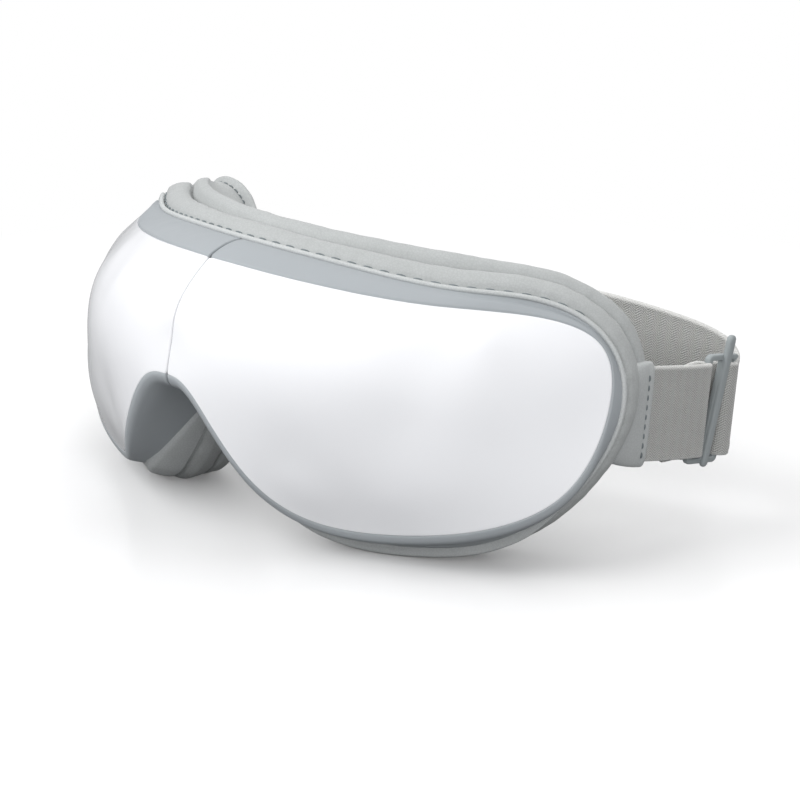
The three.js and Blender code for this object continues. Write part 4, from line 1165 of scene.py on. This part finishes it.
def build_lining():
    """One sheet across both halves, with an opening for each pad and a ridge over the hinge."""
    outline = np.stack(rim_edge(np.linspace(0, 1, 150), -8.6)[:2], -1)
    outline[:, 0] = np.maximum(outline[:, 0], 0)
    seam_z = np.linspace(outline[-1, 1], outline[0, 1], 22)[1:-1]
    loop = np.concatenate([outline, np.stack([np.zeros(20), seam_z], -1)])
    centre = np.array([PAD_ARC, PAD_Z])
    # points of the pad's oval in the same directions as the loop's
    angle = np.arctan2(loop[:, 1] - centre[1], loop[:, 0] - centre[0])
    direction = np.stack([np.cos(angle), np.sin(angle)], -1)
    radius = 1 / np.sqrt((direction[:, 0] / (PAD_HALF_WIDTH - 0.6)) ** 2
                         + (direction[:, 1] / (PAD_HALF_HEIGHT - 0.6)) ** 2)
    oval = centre + direction * radius[:, None]
    rows = [place(oval[:, 0], oval[:, 1], rear(oval[:, 0], oval[:, 1]) + 0.9)]
    for k in range(LINING_ROWS + 1):
        fraction = k / LINING_ROWS
        arc, z = (oval * (1 - fraction) + loop * fraction).T
        depth = rear(arc, z) + 4.2 + 8.6 * np.exp(-((arc / 15.5) ** 2))
        # pillowed between pad and cushion, sunk at the pad
        depth = depth + 1.5 * np.sin(np.pi * fraction) ** 0.8 - 1.3 * bell(fraction, 0, 0.12)
        rows.append(place(arc, z, depth))
    points = np.concatenate(rows)
    faces = grid_faces(len(rows), len(loop), wrap_j=True)
    faces += [[k + len(points) for k in face[::-1]] for face in faces]
    ob = make("inner_lining", np.concatenate([points, points * MIRROR]), faces)
    tidy(ob, merge=2e-5, outward=False)
    thick = ob.modifiers.new("thick", "SOLIDIFY")
    thick.thickness, thick.offset = 0.0009, 0.0
    subdivide(ob)
    tidy(ob)
    fold_blend(ob)
    finish(ob, LINING)


CLOTH = dict(
    quality=6, mass=0.12, tension_stiffness=6.0, compression_stiffness=6.0,
    shear_stiffness=3.0, bending_stiffness=0.4, tension_damping=8, compression_damping=8,
    shear_damping=8, bending_damping=1.0, air_damping=2.0, use_pressure=True,
    uniform_pressure_force=5.0, shrink_min=0.0)
CLOTH_FRAMES = 18
CLOTH_CAP = 0.0028  # farthest a point may move, in metres


def puff(ob, pins):
    """Swells a closed soft body with cloth; pins are (vertex indices, weight)."""
    mesh = ob.data
    count = len(mesh.vertices)
    rest = np.empty(count * 3)
    mesh.vertices.foreach_get("co", rest)
    cloth = ob.modifiers.new("cloth", "CLOTH")
    for key, value in CLOTH.items():
        setattr(cloth.settings, key, value)
    cloth.settings.effector_weights.gravity = 0
    cloth.collision_settings.use_collision = False
    cloth.collision_settings.use_self_collision = False
    group = ob.vertex_groups.new(name="pin")
    for indices, weight in pins:
        group.add(list(indices), weight, "REPLACE")
    cloth.settings.vertex_group_mass = "pin"
    cloth.point_cache.frame_start, cloth.point_cache.frame_end = 1, CLOTH_FRAMES
    scene = bpy.context.scene
    for k in range(1, CLOTH_FRAMES + 1):
        scene.frame_set(k)
    swollen = ob.evaluated_get(bpy.context.evaluated_depsgraph_get()).data
    moved = np.empty(count * 3)
    swollen.vertices.foreach_get("co", moved)
    ob.modifiers.remove(cloth)
    scene.frame_set(1)
    rest = rest.reshape(-1, 3)
    move = moved.reshape(-1, 3) - rest
    length = np.linalg.norm(move, axis=1)[:, None]
    bad = ~np.isfinite(length)
    move, length = np.where(bad, 0, move), np.where(bad, 0, length)
    move *= np.minimum(1, CLOTH_CAP / np.maximum(length, 1e-9))
    mesh.vertices.foreach_set("co", (rest + move).astype(np.float32).ravel())
    mesh.update()


def pad_oval(radius, angle):
    return (PAD_ARC + PAD_HALF_WIDTH * radius * np.cos(angle),
            PAD_Z + PAD_HALF_HEIGHT * radius * np.sin(angle))


def pad_body():
    """Flat body of a pad: centre, rings out over the top, rings back underneath, centre."""
    angle = circle(PAD_POINTS)

    def top(radius, angle=angle):
        arc, z = pad_oval(radius, angle)
        crown = 0.5 * math.sqrt(1 - radius ** 4)
        return place(arc, z, rear(arc, z) + 5.3 + 1.7 * (1 - radius * radius) + crown)

    def under(radius, angle=angle):
        depth = rear(*pad_oval(radius, angle)) + 4.3 + 1.6 * (1 - radius * radius)
        tuck = 0.992 if radius == 1 else 1
        return place(*pad_oval(radius * tuck, angle), depth)
    radii = [k / PAD_RINGS for k in range(1, PAD_RINGS + 1)]
    points = [top(0, angle[:1])] + [top(radius) for radius in radii]
    points += [under(radius) for radius in radii[::-1]] + [under(0, angle[:1])]
    count = PAD_POINTS
    rim, base = 1 + (PAD_RINGS - 1) * count, 1 + PAD_RINGS * count
    last = base + PAD_RINGS * count
    faces = [[0, 1 + k, 1 + (k + 1) % count] for k in range(count)]
    faces += grid_faces(PAD_RINGS, count, 1, wrap_j=True)
    faces += join_rings(range(rim, base), range(base, base + count))
    faces += grid_faces(PAD_RINGS, count, base, wrap_j=True)
    inner = last - count
    faces += [[last, inner + (k + 1) % count, inner + k] for k in range(count)]
    return np.concatenate(points), faces


def pad_ring(number):
    """Vertex indices of a ring on the pad's top, counted from 1 at the centre."""
    return range(1 + (number - 1) * PAD_POINTS, 1 + number * PAD_POINTS)


def build_pad(side):
    """Quilted oval eye pad, swollen with its rim, underside and quilting line held."""
    name = SIDE_NAMES[side]
    ride = "eye_pad_" + name
    ob = tidy(make("pad_" + name, *pad_body(), side), merge=0)
    held = range(pad_ring(PAD_RINGS)[0], len(ob.data.vertices))
    puff(ob, [(pad_ring(QUILT_RING), 0.97), (held, 1.0)])
    points = np.array([vertex.co for vertex in ob.data.vertices])
    heading = float(np.interp(PAD_ARC, bend_arc, bend_heading))
    faceward = np.array([-math.sin(heading) * side, math.cos(heading), 0])
    for number, depth in QUILT_SINK:
        points[list(pad_ring(number))] -= faceward * depth * 0.001
    ob.data.vertices.foreach_set("co", points.astype(np.float32).ravel())
    ob.data.update()
    subdivide(ob)
    finish(ob, PAD, ride, ["eye_pad_" + name])

    arc, z = pad_oval(1, circle(160))
    cord = tube(place(arc, z, rear(arc, z) + 5.15), radius=0.62, closed=True, up=(0, 0.3, 1.0))
    piping = tidy(make("pad_piping_" + name, *cord, side))
    finish(piping, PIPING, ride)

    quilt = points[list(pad_ring(QUILT_RING))] * 1000 + [0, ORIGIN_Y, 0]
    build_quilt_stitches(name, quilt, faceward)


def build_quilt_stitches(name, ring, faceward):
    """Stitches about 3 mm apart in a pad's quilting line."""
    closed = np.concatenate([ring, ring[:1]])
    run = run_length(closed)
    length = run[-1]

    def at(distance):
        return np.array([np.interp(distance % length, run, column) for column in closed.T])
    count = int(length / 3.0)
    stitches = [stitch(at(k * length / count), at((k + 0.62) * length / count), faceward,
                       radius=0.24, bury=0.3) for k in range(count)]
    ob = make("pad_stitches_" + name, *merge_bodies(stitches))
    finish(ob, LIGHT_THREAD, "eye_pad_" + name)


# ---------------------------------------------------------------- strap
# The strap leaves the right temple in a straight line from STRAP_START towards STRAP_AIM.
STRAP_START, STRAP_AIM = np.array([94.6, 80.7, 38.7]), np.array([91.6, 115.4, 32.3])
_run = STRAP_AIM[:2] - STRAP_START[:2]
_length = float(np.linalg.norm(_run))
STRAP_DIR = np.array([_run[0] / _length, _run[1] / _length, 0])
STRAP_OUT = np.array([STRAP_DIR[1], -STRAP_DIR[0], 0])
STRAP_SLOPE = (STRAP_AIM[2] - STRAP_START[2]) / _length
WEB_WIDTH, WEB_THICK = 27.4, 1.35
LEAN = 0.1  # outward lean of the webbing's width
STRAP_UP = STRAP_OUT * LEAN + np.array([0, 0, 1.0])
BUCKLE_AT = 34.8
NEAR_BAR, FAR_BAR = BUCKLE_AT - 6, BUCKLE_AT + 6
WRAP = 1.95  # radius of the webbing's middle round a bar
# From the left temple round the back of the head to the slider: x, y, z
HEAD_PATH = [
    (-94.69, 79.7, 38.8), (-94.2, 85.3, 37.85), (-93.7, 91, 37.2), (-90, 97, 38.6),
    (-80, 99.6, 41), (-60, 100.6, 43.4), (-15, 104, 44.8), (25, 110.5, 44.2),
    (55, 117.5, 42.6), (74, 124.2, 39.2), (80.8, 126.6, 37.1), (85.6, 127.3, 35.2),
    (89.4, 126.0, 33.4), (91.6, 124.2, 32.2)]
# Distance along the strap, out, drop
NEAR_OUTER = [
    (1.0, 0.0), (6, 0.15), (12, 0.9), (18, 1.6), (24, WRAP), (NEAR_BAR - 1.5, WRAP)]
NEAR_BACK = [
    (NEAR_BAR - 2, -WRAP, 0.2), (NEAR_BAR - 5, -WRAP, 0.8), (NEAR_BAR - 8.5, -WRAP, 1.3),
    (NEAR_BAR - 12, -WRAP + 0.3, 1.4)]
FAR_TUCK = [
    (FAR_BAR - 2.2, WRAP * 0.85), (FAR_BAR - 3.1, 0.6), (FAR_BAR - 3.6, -1.2),
    (FAR_BAR - 4.6, -2.6, 0.6), (FAR_BAR - 8, -3.7, 1.6), (FAR_BAR - 12.5, -4.0, 2.0)]


def strap_point(distance, out, drop=0.0):
    rise = np.array([0, 0, STRAP_SLOPE * distance - drop])
    return STRAP_START + STRAP_DIR * distance + STRAP_OUT * out + rise


def strap_points(table):
    return [strap_point(*row) for row in table]


def round_bar(bar, start, end, count):
    """Points round a bar, between angles measured from along towards outwards."""
    return [strap_point(bar + WRAP * math.cos(angle), WRAP * math.sin(angle))
            for angle in np.linspace(start, end, count)]


def smooth_path(control, count):
    """Centripetal curve through 3-D points, resampled to count even steps."""
    control = np.array(control, float)
    control = np.concatenate([[2 * control[0] - control[1]], control,
                              [2 * control[-1] - control[-2]]])
    curve = []
    for k in range(1, len(control) - 2):
        points = control[k - 1:k + 3]
        knots = running_sum(np.linalg.norm(np.diff(points, axis=0), axis=1) ** 0.5)
        for at in np.linspace(knots[1], knots[2], 40, endpoint=False):
            def mix(first, i, second, j):
                span = knots[j] - knots[i]
                return (knots[j] - at) / span * first + (at - knots[i]) / span * second
            first, middle, last = (mix(points[i], i, points[i + 1], i + 1) for i in range(3))
            curve.append(mix(mix(first, 0, middle, 2), 1, mix(middle, 1, last, 3), 2))
    curve.append(control[-2])
    curve = np.array(curve)
    run = run_length(curve)
    even = np.linspace(0, run[-1], count)
    return np.stack([np.interp(even, run, column) for column in curve.T], -1)


def web_profile():
    """Closed outline of the webbing (across, thickness) with thicker selvages."""
    columns = np.concatenate([np.linspace(-1, -0.9, 4), np.linspace(-0.85, 0.85, 15),
                              np.linspace(0.9, 1, 4)])
    reach = np.abs(columns)
    rounded = np.sqrt(np.maximum(0.0, 1 - ((reach - 0.975) / 0.03) ** 2))
    height = WEB_THICK / 2 * np.where(reach > 0.975, rounded, 1.0)
    height += np.where((reach >= 0.9) & (reach < 0.975), 0.1, 0.0)
    height = np.maximum(height, 0.16)
    across = columns * WEB_WIDTH / 2
    return np.concatenate([np.stack([across, height], -1), np.stack([across, -height], -1)[::-1]])


def ribbon(name, path, lean, start=0.0, caps=(True, True)):
    """Webbing along a path that may double back: lean sets its width, the path its normal.

    Returns the object and the length reached, counted from start.
    """
    heading = np.gradient(path, axis=0)
    heading[:, 2] = 0
    heading = unit(heading)
    x = path[:, :1]
    lean_to = np.where(x > 40, STRAP_OUT, np.where(x < -85, STRAP_OUT * MIRROR, [0, 1, 0]))
    for _ in range(60):  # smooth the direction of lean along the strap
        middle = (lean_to[:-2] + lean_to[1:-1] + lean_to[2:]) / 3
        lean_to = np.concatenate([lean_to[:1], middle, lean_to[-1:]])
    up = unit(lean_to * lean[:, None] + np.array([0, 0, 1.0]))
    normal = unit(np.cross(heading, up))
    run = run_length(path) + start
    profile = web_profile()
    points = (path[:, None] + up[:, None] * profile[None, :, :1]
              + normal[:, None] * profile[None, :, 1:])
    count = len(profile)
    uv = np.stack([np.repeat(run[:, None], count, 1),
                   np.repeat(profile[None, :, 0], len(path), 0)], -1).reshape(-1, 2)
    ob = make(name, points, tube_faces(len(path), count, *caps), uv=uv)
    return tidy(ob, merge=0), run[-1]


def build_near_strap():
    """From the right temple to the slider's near bar, round it and back on the inside."""
    turn = round_bar(NEAR_BAR, math.pi / 2, -math.pi / 2, 14)
    path = smooth_path(strap_points(NEAR_OUTER) + turn + strap_points(NEAR_BACK), 190)
    ob, _ = ribbon("strap_near", path, LEAN * np.ones(len(path)))
    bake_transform(ob)
    finish(ob, WEB, replaces=["strap_right"])


def smooth_step(start, end, value):
    ratio = np.clip((value - start) / (end - start), 0, 1)
    return ratio ** 2 * (3 - 2 * ratio)


def build_far_strap():
    """From the left temple round the head, round the far bar and tucked back, in two meshes."""
    turn = round_bar(FAR_BAR, math.radians(38), math.radians(95), 7)
    path = smooth_path(HEAD_PATH + turn + strap_points(FAR_TUCK), 420)
    x = path[:, 0]
    lean = LEAN * (smooth_step(40, 84, x) + (1 - smooth_step(-92, -60, x)))
    lean = np.where(np.arange(len(path)) / (len(path) - 1) > 0.8, LEAN, lean)
    cut = int(np.argmax(x > 60))
    band, length = ribbon("strap_rear_band", path[:cut + 1], lean[:cut + 1], caps=(True, False))
    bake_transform(band)
    finish(band, WEB, replaces=["strap_rear"])
    tail, _ = ribbon("strap_end_band", path[cut:], lean[cut:], start=length, caps=(False, True))
    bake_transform(tail)
    finish(tail, WEB, replaces=["strap_tail"])


TAB_START, TAB_LENGTH, TAB_RINGS = -9.0, 15.0, 26
TAB_SEAM = 0.8  # place of the stitched groove along the tab


def build_tab(side):
    """Padded tab over the end of the webbing where it meets the mask."""
    name = SIDE_NAMES[side]
    angle = circle(40)
    tall, deep = squarish(np.cos(angle), 0.45), squarish(np.sin(angle), 0.6)
    rings = []
    for k in range(TAB_RINGS + 1):
        along = k / TAB_RINGS
        end = round_end(along - 0.9, 0.1)
        high = (15.2 - 2.2 * (1 - along) ** 2) * (0.86 + 0.14 * end)
        thick = (2.1 + 1.2 * (1 - along) ** 1.5) * (0.3 + 0.7 * end)
        thick -= 0.35 * bell(along, TAB_SEAM, 0.035)
        rings.append(strap_point(TAB_START + TAB_LENGTH * along, 0.1)
                     + (tall * high)[:, None] * STRAP_UP + (deep * thick)[:, None] * STRAP_OUT)
    faces = tube_faces(TAB_RINGS + 1, len(angle))
    ob = tidy(make("strap_tab_" + name, np.concatenate(rings), faces, side))
    finish(ob, PIPING, name + "_half", ["strap_anchor_" + name])

    stitches = []
    for face in (1, -1):
        seam = strap_point(TAB_START + TAB_LENGTH * TAB_SEAM, 0.1) + STRAP_OUT * face * 1.95
        for k in range(9):
            height = -12.2 + 2.75 * k
            stitches.append(stitch(seam + STRAP_UP * height, seam + STRAP_UP * (height + 1.7),
                                   STRAP_OUT * face, radius=0.26, bury=0.3))
    thread = make("strap_tab_stitches_" + name, *merge_bodies(stitches), side)
    finish(thread, THREAD, name + "_half")


# The slider lies in x along the strap, y up and z outwards.
SLIDER_HALF_WIDTH = 7.0
SLIDER_EDGE = 0.5  # radius of its rounded edges
SLOTS = [(-5.0, -1.05), (1.05, 5.0)]
BAR_FOOT, BAR_TOP, BAR_RINGS = -16.4, 21.4, 22


def middle_bar():
    """The slider's proud middle bar: a rounded, slightly tapered stick."""
    angle = circle(20)
    wide, deep = squarish(np.cos(angle), 0.7), squarish(np.sin(angle), 0.7)
    middle, half = (BAR_FOOT + BAR_TOP) / 2, (BAR_TOP - BAR_FOOT) / 2
    rings = []
    for k in range(BAR_RINGS + 1):
        along = k / BAR_RINGS
        y = BAR_FOOT + (BAR_TOP - BAR_FOOT) * (along * along * (3 - 2 * along))
        size = 0.25 + 0.75 * round_end(abs(y - middle) - half + 1.3, 1.32)
        rings.append(np.stack([wide * ((1.25 + 0.15 * along) * size) + 0.4,
                               np.full(len(angle), y),
                               1.35 + deep * ((0.95 + 0.1 * along) * size)], -1))
    return np.concatenate(rings), tube_faces(BAR_RINGS + 1, len(angle))


def add_rectangle(curve, left, right, half_height, radius):
    """Adds a rounded rectangle, in millimetres, to a curve in metres."""
    corners = ((right - radius, half_height - radius), (left + radius, half_height - radius),
               (left + radius, radius - half_height), (right - radius, radius - half_height))
    points = []
    for k, (x, y) in enumerate(corners):
        for angle in np.radians(np.linspace(90 * k, 90 * k + 90, 7)):
            points.append((x + radius * math.cos(angle), y + radius * math.sin(angle)))
    outline = curve.splines.new("POLY")
    outline.points.add(len(points) - 1)
    for point, (x, y) in zip(outline.points, points):
        point.co = (x * 0.001, y * 0.001, 0, 1)
    outline.use_cyclic_u = True


def slider_frame():
    """The flat frame with two slots: vertices and faces."""
    curve = bpy.data.curves.new("buckle", "CURVE")
    curve.dimensions, curve.fill_mode = "2D", "BOTH"
    curve.extrude, curve.bevel_depth, curve.bevel_resolution = 0.00045, 0.0005, 3
    half_web = WEB_WIDTH / 2
    outer = SLIDER_HALF_WIDTH - SLIDER_EDGE
    add_rectangle(curve, -outer, outer, half_web + 2.0 - SLIDER_EDGE, 1.3)
    for left, right in SLOTS:
        add_rectangle(curve, left - SLIDER_EDGE, right + SLIDER_EDGE,
                      half_web + SLIDER_EDGE + 0.3, 0.9)
    holder = bpy.data.objects.new("buckle_curve", curve)
    bpy.context.scene.collection.objects.link(holder)
    graph = bpy.context.evaluated_depsgraph_get()
    mesh = bpy.data.meshes.new_from_object(holder.evaluated_get(graph))
    bpy.data.objects.remove(holder)
    points = np.array([vertex.co for vertex in mesh.vertices]) * 1000
    faces = [list(polygon.vertices) for polygon in mesh.polygons]
    bpy.data.meshes.remove(mesh)
    points[:, 2] += np.exp(-((points[:, 0] / 1.9) ** 4)) * 0.3  # the middle stands proud
    return points, faces


def build_buckle():
    """Moulded three-bar slider with rounded edges."""
    forward = unit(STRAP_DIR + np.array([0, 0, STRAP_SLOPE]))
    out = unit(np.cross(forward, unit(STRAP_UP)))
    up = np.cross(out, forward)
    points, faces = merge_bodies([slider_frame(), middle_bar()])
    points = (strap_point(BUCKLE_AT, 0) + points[:, :1] * forward + points[:, 1:2] * up
              + points[:, 2:] * out)
    ob = tidy(make("slider_buckle", points, faces))
    ob.data.set_sharp_from_angle(angle=math.radians(50))
    finish(ob, BUCKLE_GREY, "strap_buckle", ["strap_buckle"])


CABLE_Y, CABLE_Z = 19, 57
CABLE_HALF_LENGTH, CABLE_HALF_WIDTH = 5.4, 3.4
CONDUCTORS = 15


def build_cable():
    """Flat ribbon cable between the halves, ribbed by its conductors."""
    rows, columns = 40, CONDUCTORS * 4 + 1
    x, z = np.meshgrid(np.linspace(-CABLE_HALF_LENGTH, CABLE_HALF_LENGTH, rows),
                       np.linspace(-CABLE_HALF_WIDTH, CABLE_HALF_WIDTH, columns), indexing="ij")
    phase = (z + CABLE_HALF_WIDTH) / (2 * CABLE_HALF_WIDTH) * np.pi * CONDUCTORS
    half_thick = 0.16 + 0.14 * np.abs(np.sin(phase))
    sheets = [np.stack([x, CABLE_Y + sign * half_thick, CABLE_Z + z], -1).reshape(-1, 3)
              for sign in (-1, 1)]
    ob = tidy(make("ribbon_cable", np.concatenate(sheets), slab_faces(rows, columns)))
    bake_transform(ob)
    finish(ob, FILM, replaces=["hinge_cable"])


# ---------------------------------------------------------------- build
for side in (1, -1):
    build_shell(side)
    build_housing(side)
    build_pad(side)
    build_tab(side)
    build_hem(side)
build_cushion()
build_cushion_piping()
build_ring_stitches("cushion_stitches", lambda station, side: (0.78, 1.45), pitch=4.9,
                    share=0.56, radius=0.33, bury=0.3, shortest=0.5, last=0.31)
build_ring_stitches("inner_seam_stitches", inner_seam_offset, pitch=2.6,
                    share=0.66, radius=0.22, bury=0.25, shortest=0.4)
build_lining()
build_near_strap()
build_far_strap()
build_buckle()
build_cable()

# CAD parts that stay are painted by their slots.
SLOT_MATERIALS = {
    "shell": WHITE, "housing": SATIN, "buckle_plastic": BUCKLE_GREY, "inner_plastic": INNER,
    "steel": STEEL, "board": BOARD, "cell": CELL, "silicone": SILICONE, "film": FILM,
    "black_plastic": BLACK, "leather": LEATHER, "lining": LINING, "webbing": WEB}
for row in frame["record"]["subparts"]:
    node = row["node"]
    if "motor" in node and "weight" not in node:
        mat = CAN
    # seam walls are painted black: painted shade in the gap between the halves
    elif "seam_wall" in node:
        mat = BLACK
    else:
        mat = SLOT_MATERIALS[row["material_slot"]]
    paint(frame["nodes"][node], mat)


# ---------------------------------------------------------------- stage, light, camera
def floor_material():
    """Pale to the camera and darker to other rays, fading to white far away."""
    mat = Mat("pale_floor")
    mat.set(Roughness=0.2, Specular_IOR_Level=0.4)
    camera_ray = mat.node("ShaderNodeLightPath").outputs["Is Camera Ray"]
    seen = mat.ramp(mat.noise(scale=30), (0.3, (0.93, 0.93, 0.933, 1)),
                    (0.7, (0.945, 0.945, 0.948, 1)))
    mat.drive(mat.mix(camera_ray, (0.24, 0.243, 0.247, 1), seen), "Base Color")
    glow = mat.node("ShaderNodeEmission")
    glow.inputs["Color"].default_value = (1, 1, 1, 1)
    distance = mat.node("ShaderNodeVectorMath", operation="LENGTH")
    mat.link(mat.coords(), distance.inputs[0])
    fade = mat.remap(distance.outputs["Value"], old=(0.14, 0.31)[:0] or (0.12, 1.0)[:0]
                     or FADE_DISTANCE, new=FADE_AMOUNT)
    blend = mat.node("ShaderNodeMixShader")
    mat.link(mat.math("MULTIPLY", fade, camera_ray), blend.inputs[0])
    mat.link(mat.shader.outputs[0], blend.inputs[1])
    mat.link(glow.outputs[0], blend.inputs[2])
    mat.link(blend.outputs[0], mat.output.inputs[0])
    return mat


FADE_DISTANCE, FADE_AMOUNT = (0.14, 0.31), (0.12, 1.0)  # metres from the middle, share of white


def build_stage():
    """A round floor of rings that widen outwards."""
    sides = 48
    radii = np.geomspace(0.02, 3.0, 40)
    points = [(0, 0, 0)]
    for radius in radii:
        points += [(radius * math.cos(a), radius * math.sin(a), 0) for a in circle(sides)]
    faces = [[0, 1 + k, 1 + (k + 1) % sides] for k in range(sides)]
    for k in range(len(radii) - 1):
        inner, outer = 1 + k * sides, 1 + (k + 1) * sides
        for j in range(sides):
            following = (j + 1) % sides
            faces.append([inner + j, outer + j, outer + following, inner + following])
    mesh = bpy.data.meshes.new("floor")
    mesh.from_pydata(points, [], faces)
    ob = bpy.data.objects.new("floor", mesh)
    bpy.context.scene.collection.objects.link(ob)
    mesh.materials.append(floor_material().material)


def build_world():
    """White to the camera; a soft grey-to-white gradient as light."""
    world = bpy.data.worlds.new("studio")
    bpy.context.scene.world = world
    world.use_nodes = True
    nodes = Nodes(world.node_tree)
    output = nodes.node("ShaderNodeOutputWorld")
    seen, light = (nodes.node("ShaderNodeBackground") for _ in range(2))
    seen.inputs["Color"].default_value = (1, 1, 1, 1)
    seen.inputs["Strength"].default_value = 1.0
    split = nodes.node("ShaderNodeSeparateXYZ")
    nodes.link(nodes.coords("Generated"), split.inputs[0])
    gradient = nodes.ramp(
        nodes.remap(split.outputs[2], old=(-1, 1)), (0.0, (0.35, 0.36, 0.38, 1)),
        (0.5, (0.62, 0.63, 0.65, 1)), (0.62, (0.86, 0.865, 0.875, 1)), (1.0, (1.0, 1.0, 1.0, 1)))
    nodes.link(gradient, light.inputs["Color"])
    light.inputs["Strength"].default_value = 0.62
    path = nodes.node("ShaderNodeLightPath")
    mix = nodes.node("ShaderNodeMixShader")
    nodes.link(path.outputs["Is Camera Ray"], mix.inputs[0])
    nodes.link(light.outputs[0], mix.inputs[1])
    nodes.link(seen.outputs[0], mix.inputs[2])
    nodes.link(mix.outputs[0], output.inputs[0])


# Area lights: name, place, point aimed at, (width, height), watts
LIGHTS = [
    ("key", (-0.62, -0.92, 0.95), (0.0, -0.02, 0.03), (1.5, 1.1), 17.5),
    ("fill", (0.95, -0.75, 0.5), (0.0, 0.0, 0.04), (1.0, 0.9), 5.4),
    ("top", (0.1, 0.35, 1.0), (0.0, 0.0, 0.05), (1.0, 0.6), 1.8),
    ("back", (-0.35, 0.95, 0.55), (0.0, 0.05, 0.04), (0.9, 0.6), 4.0)]


def build_light(name, location, target, size, power):
    light = bpy.data.lights.new(name, "AREA")
    light.energy, light.shape = power, "RECTANGLE"
    light.size, light.size_y = size
    light.spread = math.pi
    ob = bpy.data.objects.new(name, light)
    ob.location = location
    aim = Vector(target) - Vector(location)
    ob.rotation_euler = aim.to_track_quat("-Z", "Y").to_euler()
    bpy.context.scene.collection.objects.link(ob)
    ob.visible_glossy = False


CAMERA_PLACE = 0.641956, -0.513952 - ORIGIN_Y * 0.001, 0.298684
CAMERA_AZIMUTH, CAMERA_ELEVATION = math.radians(47.02757), math.radians(17.60872)


def build_camera():
    camera = bpy.data.cameras.new("camera")
    camera.sensor_width, camera.lens = 36.0, 143.0901
    camera.clip_start, camera.clip_end = 0.05, 20
    ob = bpy.data.objects.new("camera", camera)
    bpy.context.scene.collection.objects.link(ob)
    sine, cosine = math.sin(CAMERA_AZIMUTH), math.cos(CAMERA_AZIMUTH)
    level = math.cos(CAMERA_ELEVATION)
    backward = Vector((sine * level, -cosine * level, math.sin(CAMERA_ELEVATION)))
    right = Vector((cosine, sine, 0))
    turn = Matrix((right, backward.cross(right), backward)).transposed().to_4x4()
    ob.matrix_world = Matrix.Translation(Vector(CAMERA_PLACE)) @ turn
    bpy.context.scene.camera = ob


build_stage()
build_world()
for light in LIGHTS:
    build_light(*light)
build_camera()
bpy.context.scene.view_settings.view_transform = "Standard"
